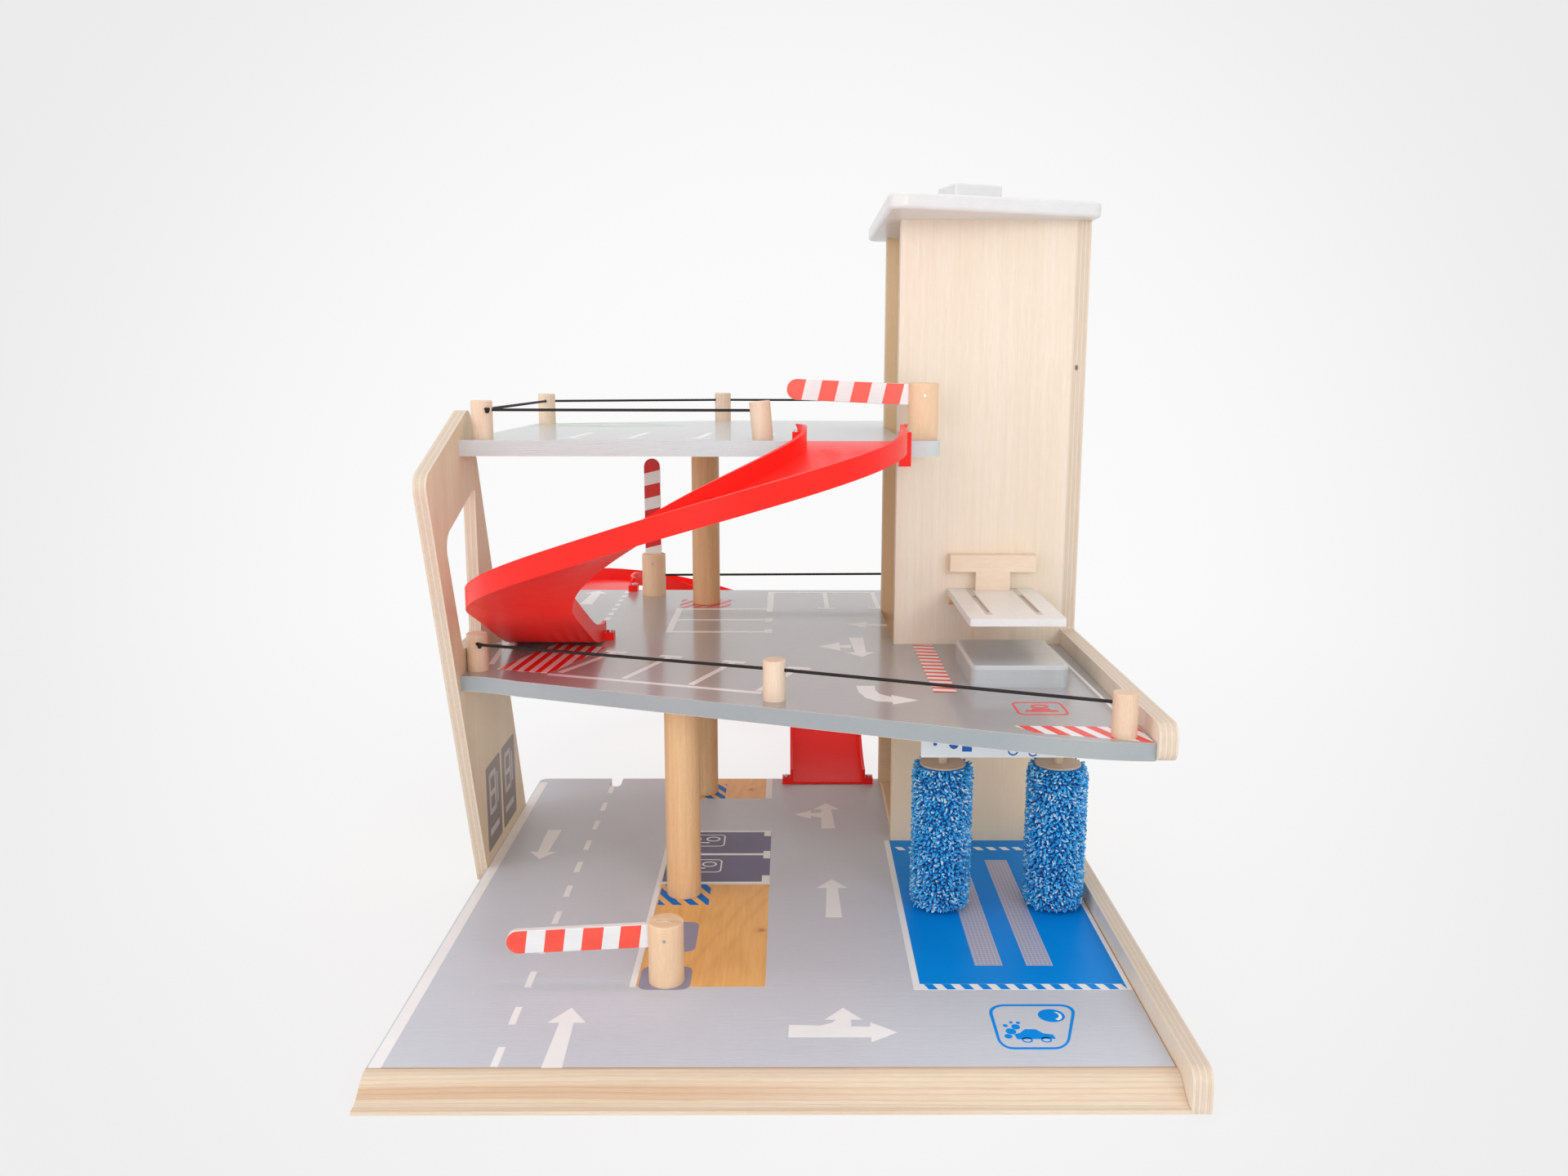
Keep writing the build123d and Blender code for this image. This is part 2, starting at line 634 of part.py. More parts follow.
for name, (point, foot, arm_degrees) in barriers.items():
    pin_centre = (point[0], point[1], foot + pin_height)
    pin_front = (point[0], point[1] - post_radius, foot + pin_height)
    pin_back = (point[0], point[1] + post_radius, foot + pin_height)

    with BuildPart() as barrier_post:
        with Locations((point[0], point[1], foot)):
            Cylinder(post_radius, post_height, align=on_top)
        fillet(barrier_post.edges().filter_by(GeomType.CIRCLE).sort_by(Axis.Z)[-1:], post_round)
        slot_depth = post_height - pin_height + arm_width / 2 + arm_drop_gap
        with Locations((point[0], point[1], foot + post_height)):
            Box(2 * post_radius, arm_thickness + 2 * arm_gap, slot_depth, align=hanging, mode=Mode.SUBTRACT)
        add_rod(pin_front, pin_back, pin_radius + pin_gap, Mode.SUBTRACT)
        add_pilot_hole(point, foot)
        if name == "back":
            add_route(mid_back_route, cord_hole_radius, Mode.SUBTRACT)
    barrier_post.part.label = f"{name}_barrier_post"
    export_step(barrier_post.part, f"parts/{name}_barrier_post.step")

    with BuildPart() as barrier_arm:
        along = (-cos(radians(arm_degrees)), 0, sin(radians(arm_degrees)))
        with BuildSketch(Plane(origin=pin_centre, x_dir=along, z_dir=(0, 1, 0))):
            arm_span = arm_length - arm_width / 2
            with Locations((arm_span / 2, 0)):
                SlotCenterToCenter(arm_span, arm_width)
            Circle(pin_radius + pin_gap, mode=Mode.SUBTRACT)
        extrude(amount=arm_thickness / 2, both=True)
        for face in barrier_arm.faces().sort_by(Axis.Y)[:1] + barrier_arm.faces().sort_by(Axis.Y)[-1:]:
            fillet(face.outer_wire().edges(), edge_round)
    barrier_arm.part.label = f"{name}_barrier_arm"
    export_step(barrier_arm.part, f"parts/{name}_barrier_arm.step")

    with BuildPart() as barrier_pin:
        add_rod(pin_front, pin_back, pin_radius)
    barrier_pin.part.label = f"{name}_barrier_pin"
    export_step(barrier_pin.part, f"parts/{name}_barrier_pin.step")

# Elastic cords: each one is threaded from peg to peg
mid_cord_z = mid_top + cord_height
upper_cord_z = upper_top + cord_height
knot_reach = peg_radius + knot_radius + pin_gap
knot_turn = radians(knot_turn_degrees)
corner_peg = mid_peg_places["front_left"]
knot_place = (corner_peg[0] + knot_reach * sin(knot_turn), corner_peg[1] - knot_reach * cos(knot_turn), mid_cord_z)
lean_shift = cord_height * sin(radians(peg_lean_degrees))
lean_peg = upper_peg_places["front_middle"]
mid_front_route = [(*corner_peg, mid_cord_z), knot_place, (*mid_peg_places["front_middle"], mid_cord_z),
                   (*mid_peg_places["front_right"], mid_cord_z)]
upper_route = [(lean_peg[0] + lean_shift, lean_peg[1], upper_cord_z)]
upper_route += [(*upper_peg_places[name], upper_cord_z) for name in ("front_left", "back_left", "back_middle", "back_right")]

with BuildPart() as mid_front_cord:
    add_route(mid_front_route, cord_radius)
    with Locations(knot_place):
        Cylinder(knot_radius, 2 * knot_radius)
mid_front_cord.part.label = "mid_front_cord"
export_step(mid_front_cord.part, "parts/mid_front_cord.step")

with BuildPart() as mid_back_cord:
    add_route(mid_back_route, cord_radius)
mid_back_cord.part.label = "mid_back_cord"
export_step(mid_back_cord.part, "parts/mid_back_cord.step")

with BuildPart() as upper_cord:
    add_route(upper_route, cord_radius)
upper_cord.part.label = "upper_cord"
export_step(upper_cord.part, "parts/upper_cord.step")

# Pegs: turned beech with a tenon below and a hole for the cord near the top
levels = {
    "mid": (mid_peg_places, mid_top, [mid_front_route, mid_back_route]),
    "upper": (upper_peg_places, upper_top, [upper_route]),
}

for level, (places, deck_top, routes) in levels.items():
    for name, point in places.items():
        lean = peg_lean_degrees if (level, name) == ("upper", "front_middle") else 0
        with BuildPart() as peg:
            with Locations(Location((point[0], point[1], deck_top), (0, lean, 0))):
                Cylinder(peg_radius, 2 * peg_height)
            fillet(peg.edges().filter_by(GeomType.CIRCLE).sort_by(Axis.Z)[-1:], peg_round)
            with Locations((point[0], point[1], deck_top)):
                Box(4 * peg_radius, 4 * peg_radius, 2 * peg_height, align=hanging, mode=Mode.SUBTRACT)
            with Locations(Location((point[0], point[1], deck_top), (0, lean, 0))):
                Cylinder(tenon_radius, 2 * tenon_length)
            for route in routes:
                add_route(route, cord_hole_radius, Mode.SUBTRACT)
        peg.part.label = f"{level}_{name}_peg"
        export_step(peg.part, f"parts/{level}_{name}_peg.step")

# Car wash brushes: an axle, a wooden core and a fluffy cover with radial strands
for name, point in zip(("left", "right"), brush_places):
    core_foot = ground_top + brush_foot

    with BuildPart() as brush_axle:
        add_rod((*point, ground_top - axle_seat), (*point, mid_underside + axle_seat), axle_radius)
    brush_axle.part.label = f"{name}_brush_axle"
    export_step(brush_axle.part, f"parts/{name}_brush_axle.step")

    with BuildPart() as brush_core:
        add_rod((*point, core_foot), (*point, core_foot + brush_height), brush_core_radius)
        fillet(brush_core.edges().filter_by(GeomType.CIRCLE), edge_round)
        add_rod((*point, core_foot), (*point, core_foot + brush_height), axle_radius + axle_gap, Mode.SUBTRACT)
    brush_core.part.label = f"{name}_brush_core"
    export_step(brush_core.part, f"parts/{name}_brush_core.step")

    with BuildPart() as brush_cover:
        cover_foot = core_foot + brush_end_inset
        cover_head = core_foot + brush_height - brush_end_inset
        backing_radius = brush_core_radius + brush_backing
        add_rod((*point, cover_foot), (*point, cover_head), backing_radius)
        add_rod((*point, cover_foot), (*point, cover_head), brush_core_radius + axle_gap, Mode.SUBTRACT)
        row_pitch = (cover_head - cover_foot) / strand_rows
        seats = []
        for row in range(strand_rows):
            for strand in range(strands_each_row):
                turn = 360 * (strand + (row % 2) / 2) / strands_each_row
                x = point[0] + (backing_radius - brush_backing / 2) * cos(radians(turn))
                y = point[1] + (backing_radius - brush_backing / 2) * sin(radians(turn))
                seats.append(Location((x, y, cover_foot + row_pitch * (row + 1 / 2)), (0, 0, turn)))
        strand_length = brush_radius - backing_radius + brush_backing / 2
        with Locations(*seats):
            Box(strand_length, strand_width, strand_width, align=(Align.MIN, Align.CENTER, Align.CENTER))
    brush_cover.part.label = f"{name}_brush_cover"
    export_step(brush_cover.part, f"parts/{name}_brush_cover.step")

# Car wash sign: hangs under the middle deck
sign_width_share = 0.91156
sign_width = tower_width * sign_width_share
sign_height = 36.0
sign_thickness = 4.0
sign_round = 6.0
sign_setback_share = 0.37037
sign_y = front_y + base_depth * sign_setback_share

with BuildPart() as wash_sign:
    with BuildSketch(Plane.XZ.offset(-sign_y)) as sign_face:
        with Locations((shaft_middle_x, mid_underside)):
            Rectangle(sign_width, sign_height, align=(Align.CENTER, Align.MAX))
        fillet(sign_face.vertices().sort_by(Axis.Z)[:2], sign_round)
    extrude(amount=sign_thickness)
wash_sign.part.label = "wash_sign"
export_step(wash_sign.part, "parts/wash_sign.step")

# Workshop guide: a T-shaped post on the tower's front
guide_depth = 12.0
guide_width = 30.0
guide_stem_height = 66.5
guide_head_share = 0.5102
guide_head_width = tower_width * guide_head_share
guide_head_height = 15.0
guide_x_share = 0.571
guide_x = tower_left + tower_width * guide_x_share
guide_head_foot = mid_top + guide_stem_height

with BuildPart() as workshop_guide:
    with BuildSketch(Plane.XZ.offset(-tower_front)):
        with Locations((guide_x, mid_top)):
            Rectangle(guide_width, guide_stem_height + guide_head_height, align=(Align.CENTER, Align.MIN))
        with Locations((guide_x, guide_head_foot)):
            Rectangle(guide_head_width, guide_head_height, align=(Align.CENTER, Align.MIN))
    extrude(amount=guide_depth)
    fillet(workshop_guide.faces().sort_by(Axis.Y)[0].outer_wire().edges(), edge_round)
workshop_guide.part.label = "workshop_guide"
export_step(workshop_guide.part, "parts/workshop_guide.step")

# Workshop platform: slides up and down the guide and has two wheel grooves
platform_depth = 134.5
platform_thickness = 6.0
platform_rise = 44.5
platform_gap = 0.5
platform_round = 2.0
groove_width = 4.0
groove_depth = 1.5
groove_length = 77.0
groove_setback = 26.0
groove_spread = 40.0
bar_radius = 3.25
bar_set = 0.9
bar_front = 4.0
bar_overhang = 1.5
platform_front = tower_front - platform_gap - platform_depth
platform_bottom = mid_top + platform_rise
platform_top = platform_bottom + platform_thickness
bar_y = tower_front - guide_depth - bar_front
bar_z = platform_bottom - bar_radius + bar_set
bar_ends = [guide_x - guide_head_width / 2 - bar_overhang, guide_x + guide_head_width / 2 - bar_overhang]

with BuildPart() as workshop_platform:
    with BuildSketch(Plane.XY.offset(platform_bottom)) as platform_plan:
        with Locations((guide_x, platform_front)):
            Rectangle(guide_head_width, platform_depth, align=(Align.CENTER, Align.MIN))
        fillet(platform_plan.vertices().sort_by(Axis.Y)[:2], platform_round)
        with Locations((guide_x, tower_front)):
            Rectangle(guide_width + 2 * platform_gap, guide_depth + platform_gap,
                      align=(Align.CENTER, Align.MAX), mode=Mode.SUBTRACT)
    extrude(amount=platform_thickness)
    for side in (-1, 1):
        with BuildSketch(Plane.XY.offset(platform_top)):
            with Locations((guide_x + side * groove_spread / 2, platform_front + groove_setback + groove_length / 2)):
                SlotOverall(groove_length, groove_width, rotation=90)
        extrude(amount=-groove_depth, mode=Mode.SUBTRACT)
    add_rod((bar_ends[0], bar_y, bar_z), (bar_ends[1], bar_y, bar_z), bar_radius + pin_gap, Mode.SUBTRACT)
workshop_platform.part.label = "workshop_platform"
export_step(workshop_platform.part, "parts/workshop_platform.step")

with BuildPart() as platform_bar:
    add_rod((bar_ends[0], bar_y, bar_z), (bar_ends[1], bar_y, bar_z), bar_radius)
    fillet(platform_bar.edges().filter_by(GeomType.CIRCLE), edge_round)
platform_bar.part.label = "platform_bar"
export_step(platform_bar.part, "parts/platform_bar.step")

# Workshop block: a glossy rounded block that stands under the platform
block_depth = 95.0
block_height = 17.0
block_setback_share = 0.4037
block_round = 5.0
block_top_round = 3.0

with BuildPart() as workshop_block:
    with Locations((guide_x, front_y + base_depth * block_setback_share, mid_top)):
        Box(guide_head_width, block_depth, block_height, align=(Align.CENTER, Align.MIN, Align.MIN))
    fillet(workshop_block.edges().filter_by(Axis.Z), block_round)
    fillet(workshop_block.edges().group_by(Axis.Z)[-1], block_top_round)
workshop_block.part.label = "workshop_block"
export_step(workshop_block.part, "parts/workshop_block.step")

# Lift car: an open tray between two walls, hung from a dowel
lift_gap = 1.0
lift_rest_gap = 0.3
lift_floor_thickness = 6.0
lift_wall = 6.0
lift_wall_height = 70.0
lift_wall_round = 14.0
lift_bar_drop = 12.0
lift_bar_seat = 4.0
lift_left = tower_left + lift_gap
lift_right = right_x - lift_gap
lift_front = shaft_front + lift_gap
lift_back = shaft_back - lift_gap
lift_bottom = ground_top + lift_rest_gap
lift_floor_top = lift_bottom + lift_floor_thickness
lift_bar_z = lift_floor_top + lift_wall_height - lift_bar_drop
lift_bar_ends = [lift_front + lift_wall - lift_bar_seat, lift_back - lift_wall + lift_bar_seat]

with BuildPart() as lift_floor:
    with Locations(((lift_left + lift_right) / 2, (lift_front + lift_back) / 2, lift_bottom)):
        Box(lift_right - lift_left, lift_back - lift_front, lift_floor_thickness, align=on_top)
    fillet(lift_floor.edges().filter_by(Axis.Y).sort_by(Axis.X)[:2], platform_round)
lift_floor.part.label = "lift_floor"
export_step(lift_floor.part, "parts/lift_floor.step")

for name, wall_back in (("front", lift_front + lift_wall), ("back", lift_back)):
    with BuildPart() as lift_wall_panel:
        with BuildSketch(Plane.XZ.offset(-wall_back)) as wall_face:
            with Locations(((lift_left + lift_right) / 2, lift_floor_top)):
                Rectangle(lift_right - lift_left, lift_wall_height, align=(Align.CENTER, Align.MIN))
            fillet(wall_face.vertices().sort_by(Axis.Z)[-2:], lift_wall_round)
        extrude(amount=lift_wall)
        add_rod((drop_x, lift_bar_ends[0], lift_bar_z), (drop_x, lift_bar_ends[1], lift_bar_z),
                dowel_radius + spindle_gap, Mode.SUBTRACT)
    lift_wall_panel.part.label = f"lift_{name}_wall"
    export_step(lift_wall_panel.part, f"parts/lift_{name}_wall.step")

with BuildPart() as lift_bar:
    add_rod((drop_x, lift_bar_ends[0], lift_bar_z), (drop_x, lift_bar_ends[1], lift_bar_z), dowel_radius)
lift_bar.part.label = "lift_bar"
export_step(lift_bar.part, "parts/lift_bar.step")

# Lift cord: hangs from the guide dowel to the car's bar and gets shorter as the car rises
with BuildPart() as lift_cord:
    add_rod((drop_x, lead_y, lift_bar_z + dowel_radius), (drop_x, lead_y, dowel_z), lift_cord_radius)
lift_cord.part.label = "lift_cord"
export_step(lift_cord.part, "parts/lift_cord.step")

# Cord lead: from the spool over the guide dowel
with BuildPart() as cord_lead:
    lead_z = dowel_z + lead_radius
    with BuildLine(Plane.XZ.offset(-lead_y)):
        Line((winch_place[0], lead_z), (dowel_x, lead_z))
        JernArc((dowel_x, lead_z), (1, 0), lead_radius, -90)
    with BuildSketch(Plane(origin=(winch_place[0], lead_y, lead_z), z_dir=(1, 0, 0))):
        Circle(lift_cord_radius)
    sweep()
cord_lead.part.label = "cord_lead"
export_step(cord_lead.part, "parts/cord_lead.step")

with BuildPart() as cord_dowel:
    add_rod((dowel_x, shaft_front - dowel_seat, dowel_z), (dowel_x, shaft_back + dowel_seat, dowel_z), dowel_radius)
cord_dowel.part.label = "cord_dowel"
export_step(cord_dowel.part, "parts/cord_dowel.step")

# Winch: a knob on the roof turns a spindle and its cord spool
spool_height = 16.0
spool_flange = 1.8
spool_flange_radius = 12.0
spool_roof_gap = 0.5
knob_width = 46.0
knob_depth = 37.0
knob_height = 25.0
knob_round = 2.0
knob_turn_degrees = 18.0
knob_gap = 0.3
knob_seat = 15.0
spool_top = tower_top - spool_roof_gap
spool_foot = spool_top - spool_height
knob_foot = tower_top + board + knob_gap

with BuildPart() as winch_spool:
    add_rod((*winch_place, spool_foot), (*winch_place, spool_top), spool_core_radius)
    add_rod((*winch_place, spool_foot), (*winch_place, spool_foot + spool_flange), spool_flange_radius)
    add_rod((*winch_place, spool_top - spool_flange), (*winch_place, spool_top), spool_flange_radius)
    add_rod((*winch_place, spool_foot), (*winch_place, spool_top), winch_radius + spindle_gap, Mode.SUBTRACT)
winch_spool.part.label = "winch_spool"
export_step(winch_spool.part, "parts/winch_spool.step")

with BuildPart() as winch_spindle:
    add_rod((*winch_place, spool_foot), (*winch_place, knob_foot + knob_seat), winch_radius)
winch_spindle.part.label = "winch_spindle"
export_step(winch_spindle.part, "parts/winch_spindle.step")

with BuildPart() as winch_knob:
    with BuildSketch(Plane.XY.offset(knob_foot)):
        with Locations(winch_place):
            Rectangle(knob_width, knob_depth, rotation=knob_turn_degrees)
    extrude(amount=knob_height)
    fillet(winch_knob.edges(), knob_round)
    add_rod((*winch_place, knob_foot), (*winch_place, knob_foot + knob_seat), winch_radius + spindle_gap, Mode.SUBTRACT)
winch_knob.part.label = "winch_knob"
export_step(winch_knob.part, "parts/winch_knob.step")
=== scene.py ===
import bpy
import numpy as np
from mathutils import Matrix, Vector


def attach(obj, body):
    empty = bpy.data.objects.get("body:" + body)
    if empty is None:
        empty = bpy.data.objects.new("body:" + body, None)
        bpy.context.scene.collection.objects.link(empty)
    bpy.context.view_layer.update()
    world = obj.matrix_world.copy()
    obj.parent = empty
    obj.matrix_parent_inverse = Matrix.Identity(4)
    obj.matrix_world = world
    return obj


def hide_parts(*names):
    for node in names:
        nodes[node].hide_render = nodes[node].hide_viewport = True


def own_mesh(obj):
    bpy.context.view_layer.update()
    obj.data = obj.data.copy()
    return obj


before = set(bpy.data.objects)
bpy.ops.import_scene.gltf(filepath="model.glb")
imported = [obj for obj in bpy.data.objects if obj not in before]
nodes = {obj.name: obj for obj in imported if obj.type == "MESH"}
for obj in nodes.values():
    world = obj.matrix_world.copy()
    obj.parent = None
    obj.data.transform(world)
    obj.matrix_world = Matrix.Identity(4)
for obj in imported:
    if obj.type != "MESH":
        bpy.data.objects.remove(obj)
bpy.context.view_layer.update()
scene = bpy.context.scene


# Camera: in front of the garage, a little above the upper deck, and turned slightly down.
# Its lens, place and angles were fitted to the straight edges of the photographed boards.
def new_object(name, data):
    """An object in the scene that holds a curve, a mesh, a lamp or the camera."""
    made = bpy.data.objects.new(name, data)
    scene.collection.objects.link(made)
    return made


camera_data = bpy.data.cameras.new("camera")
camera_data.sensor_width = 36.0
camera_data.lens = 27.9645
camera_data.shift_x = -0.00858
camera_data.shift_y = 0.00271
camera = new_object("camera", camera_data)
camera.location = (0.00967, -0.95526, 0.43543)
camera.rotation_euler = (1.390295, -0.002639, -0.00666)
scene.camera = camera


# Cords: black braided elastic, 2.4 mm thick, pulled tight through the pegs' cross holes and
# knotted at its ends. The lift hangs on a thinner cord that runs from its spool over a dowel.
def cord_curve(name, route, radius):
    """A NURBS curve of order 3 that has the cord's route as its control points."""
    line = bpy.data.curves.new(name, "CURVE")
    line.dimensions = "3D"
    line.bevel_depth = radius
    line.bevel_resolution = 3
    line.resolution_u = 12
    line.use_fill_caps = True
    spline = line.splines.new("NURBS")
    spline.points.add(len(route) - 1)
    route = np.array(route, float)
    spline.points.foreach_set("co", np.c_[route, np.ones(len(route))].ravel())
    spline.order_u = 3
    spline.use_endpoint_u = True
    return new_object(name, line)


class Wire:
    """One output of a shader node; sums, products and comparisons with it add Math nodes."""

    def __init__(self, graph, socket):
        self.graph, self.socket = graph, socket

    def maths(self, operation, *terms):
        """Adds a Math node that works on this wire and the terms."""
        return self.graph.node("ShaderNodeMath", {"operation": operation}, [self, *terms])

    def __add__(self, other):
        return self.maths("ADD", other)

    def __mul__(self, other):
        return self.maths("MULTIPLY", other)

    def __sub__(self, other):
        return self.maths("SUBTRACT", other)

    def __rsub__(self, other):
        return self.graph.node("ShaderNodeMath", {"operation": "SUBTRACT"}, [other, self])

    def __truediv__(self, other):
        return self.maths("DIVIDE", other)

    def __pow__(self, other):
        return self.maths("POWER", other)

    def __abs__(self):
        return self.maths("ABSOLUTE")

    def __gt__(self, other):
        return self.maths("GREATER_THAN", other)

    def __lt__(self, other):
        return self.maths("LESS_THAN", other)

    __radd__ = __add__
    __rmul__ = __mul__


def display(colour):
    """Linear colour for a display colour in 255ths."""
    share = np.array(colour) / 255
    linear = np.where(share <= 0.04045, share / 12.92, ((share + 0.055) / 1.055) ** 2.4)
    return (*linear.tolist(), 1.0)


class Graph:
    """A tree of shader nodes, with short calls that add nodes and link them."""

    def __init__(self, tree):
        self.tree = tree

    def set(self, socket, term):
        """Links a wire to a socket, or gives the socket a value of its own."""
        if isinstance(term, Wire):
            self.tree.links.new(term.socket, socket)
        else:
            socket.default_value = term

    def node(self, kind, settings=None, values=(), output=0):
        """Adds a node with its settings first, then the values or wires of its sockets."""
        made = self.tree.nodes.new(kind)
        for key, value in (settings or {}).items():
            setattr(made, key, value)
        pairs = values.items() if isinstance(values, dict) else enumerate(values)
        for key, term in pairs:
            self.set(made.inputs[key], term)
        return None if output is None else Wire(self, made.outputs[output])

    def vector(self, operation, *terms, output=0):
        """Adds a Vector Math node that works on the terms."""
        return self.node("ShaderNodeVectorMath", {"operation": operation}, terms, output)

    def ramp(self, value, low, high, first=0.0, last=1.0):
        """Smooth step from first to last while the value goes from low to high."""
        steps = {"interpolation_type": "SMOOTHSTEP"}
        return self.node("ShaderNodeMapRange", steps, [value, low, high, first, last])

    def mix(self, share, first, second):
        """Colour that goes from first to second as share goes from 0 to 1. Both are wires or
        display colours."""
        first, second = (c if isinstance(c, Wire) else display(c) for c in (first, second))
        return self.node("ShaderNodeMix", {"data_type": "RGBA"}, {0: share, 6: first, 7: second}, 2)


class Finish(Graph):
    """One procedural material: its Principled shader and the wires that feed it."""

    def __init__(self, name, roughness=0.5, coat=0.0, coat_roughness=0.1, specular=0.5):
        self.material = bpy.data.materials.new(name)
        self.material.use_nodes = True
        super().__init__(self.material.node_tree)
        self.shader = self.tree.nodes["Principled BSDF"]
        self.shader.inputs["Roughness"].default_value = roughness
        self.shader.inputs["Specular IOR Level"].default_value = specular
        self.shader.inputs["Coat Weight"].default_value = coat
        self.shader.inputs["Coat Roughness"].default_value = coat_roughness
        self.place = self.node("ShaderNodeTexCoord", output="Object")
        self.axes = [self.node("ShaderNodeSeparateXYZ", {}, [self.place], i) for i in range(3)]

    def noise(self, density, detail=2.0, spread=0.18):
        """Noise from 0 to 1, with density cells a metre, one number or one for each axis."""
        place = self.vector("MULTIPLY", self.place, np.broadcast_to(density, 3).tolist())
        values = {"Vector": place, "Scale": 1.0, "Detail": detail}
        grey = self.node("ShaderNodeTexNoise", {}, values)
        return self.node("ShaderNodeMapRange", {}, [grey, 0.5 - spread, 0.5 + spread, 0.0, 1.0])

    def colour(self, term):
        self.set(self.shader.inputs["Base Color"], term)

    def rough(self, term):
        self.set(self.shader.inputs["Roughness"], term)

    def relief(self, height, depth):
        """Bumps the surface; a height of 1 stands for the depth in metres."""
        values = {"Height": height, "Distance": depth, "Strength": 1.0}
        bump = self.node("ShaderNodeBump", {}, values)
        self.set(self.shader.inputs["Normal"], bump)

    def dress(self, *names):
        """Gives this finish to CAD nodes."""
        for name in names:
            for slot in nodes[name].material_slots:
                slot.material = self.material


def wave(angle):
    """Smooth wave from 0 to 1 of an angle in radians."""
    return angle.maths("SINE") * 0.5 + 0.5


# Dark threads with a faint diamond relief from two crossed waves.
elastic = Finish("black_elastic", roughness=0.75)
x, y, z = elastic.axes
braid = wave((x + y + z) * 5200) * wave((x + y - z) * 5200)
elastic.colour(elastic.mix(braid * 0.55 + elastic.noise(900) * 0.3, (20, 17, 17), (50, 44, 44)))
elastic.relief(braid, 0.0002)

elastic_radius = 0.0012
lift_cord_radius = 0.001
lift_top, lift_foot = 0.545, 0.0808
cord_routes = {
    "mid_front_elastic": (elastic_radius, "mid_front_cord", 0.512, [
        (-0.241, 0.00351, 0.2195), (-0.23827, -0.00668, 0.2195), (-0.22462, -0.01127, 0.2195),
        (-0.01465, -0.08181, 0.2195), (-0.001, -0.0864, 0.2195), (0.01241, -0.09164, 0.2195),
        (0.2325, -0.17766, 0.2195)]),
    "mid_back_elastic": (elastic_radius, "mid_back_cord", 0.3685, [
        (-0.1355, 0.33912, 0.218), (0.04875, 0.34128, 0.21875), (0.233, 0.34344, 0.2195)]),
    "upper_elastic": (elastic_radius, "upper_cord", 0.986, [
        (-0.0135, 0.0324, 0.4035), (-0.2216, 0.02962, 0.4035), (-0.236, 0.02943, 0.4035),
        (-0.23613, 0.04383, 0.4035), (-0.23837, 0.29394, 0.4035), (-0.2385, 0.30834, 0.4035),
        (-0.22509, 0.31359, 0.4035), (-0.07541, 0.37221, 0.4035), (-0.062, 0.37746, 0.4035),
        (-0.0476, 0.37764, 0.4035), (0.233, 0.38124, 0.4035)]),
    "lift_lead": (lift_cord_radius, "cord_lead", 0.033, [
        (0.171, 0.17177, 0.55005), (0.188, 0.17177, 0.55005), (0.197, 0.17177, 0.55005),
        (0.20205, 0.17177, 0.55005), (0.20205, 0.17177, 0.545)]),
}


def smooth_mesh(name, points, quads, triangles=np.zeros((0, 3), int)):
    """A smooth mesh object from points, four-cornered faces and three-cornered ones."""
    corners = np.concatenate([quads.ravel(), triangles.ravel()])
    starts = np.concatenate([np.arange(len(quads)) * 4, quads.size + np.arange(len(triangles)) * 3])
    mesh = bpy.data.meshes.new(name)
    mesh.vertices.add(len(points))
    mesh.vertices.foreach_set("co", points.astype(np.float32).ravel())
    mesh.loops.add(len(corners))
    mesh.loops.foreach_set("vertex_index", corners.astype(np.int32))
    mesh.polygons.add(len(starts))
    mesh.polygons.foreach_set("loop_start", starts.astype(np.int32))
    mesh.update(calc_edges=True)
    mesh.polygons.foreach_set("use_smooth", np.ones(len(starts), bool))
    return new_object(name, mesh)


def grid_faces(numbers, wrap_rows=True, wrap_columns=True):
    """Faces between the neighbours in a grid of point numbers; a wrapped side meets the other."""
    if wrap_rows:
        numbers = np.vstack([numbers, numbers[:1]])
    if wrap_columns:
        numbers = np.hstack([numbers, numbers[:, :1]])
    corners = [numbers[:-1, :-1], numbers[1:, :-1], numbers[1:, 1:], numbers[:-1, 1:]]
    return np.stack(corners, -1).reshape(-1, 4)


def grid_mesh(name, points, wrap_rows=True):
    """A surface from rows of points; each row closes on itself."""
    numbers = np.arange(points.shape[0] * points.shape[1]).reshape(points.shape[:2])
    return smooth_mesh(name, points.reshape(-1, 3), grid_faces(numbers, wrap_rows))


def knot(name, centre, size=0.00048, radius=0.0009, turn=0.0, steps=72, sides=10):
    """A pulled-tight overhand knot: a tube round the trefoil (sin t + 2 sin 2t, -1.4 sin 3t,
    cos t - 2 cos 2t), with its rings square to the path."""
    t = np.linspace(0, 2 * np.pi, steps, endpoint=False) + turn
    path = size * np.stack([np.sin(t) + 2 * np.sin(2 * t), -1.4 * np.sin(3 * t),
                            np.cos(t) - 2 * np.cos(2 * t)], -1)
    along = np.roll(path, -1, 0) - np.roll(path, 1, 0)
    along /= np.linalg.norm(along, axis=1, keepdims=True)
    bend = np.roll(along, -1, 0) - np.roll(along, 1, 0)
    bend /= np.linalg.norm(bend, axis=1, keepdims=True)
    side = np.cross(along, bend)
    around = np.linspace(0, 2 * np.pi, sides, endpoint=False)[:, None, None]
    rings = path + radius * (np.cos(around) * bend + np.sin(around) * side)
    piece = grid_mesh(name, rings.transpose(1, 0, 2) + np.array(centre))
    piece.data.materials.append(elastic.material)
    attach(piece, "base")
    return piece


cord_knots = {
    "mid_front_elastic": [knot("mid_front_knot", (-0.2355, -0.0112, 0.2195))],
    "upper_elastic": [knot("upper_front_knot", (-0.2298, 0.0222, 0.4035), size=0.00055, turn=1.3)],
}
for name, (radius, node, length, route) in cord_routes.items():
    cord = cord_curve(name, route, radius)
    cord.data.materials.append(elastic.material)
    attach(cord, "base")
    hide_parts(node)

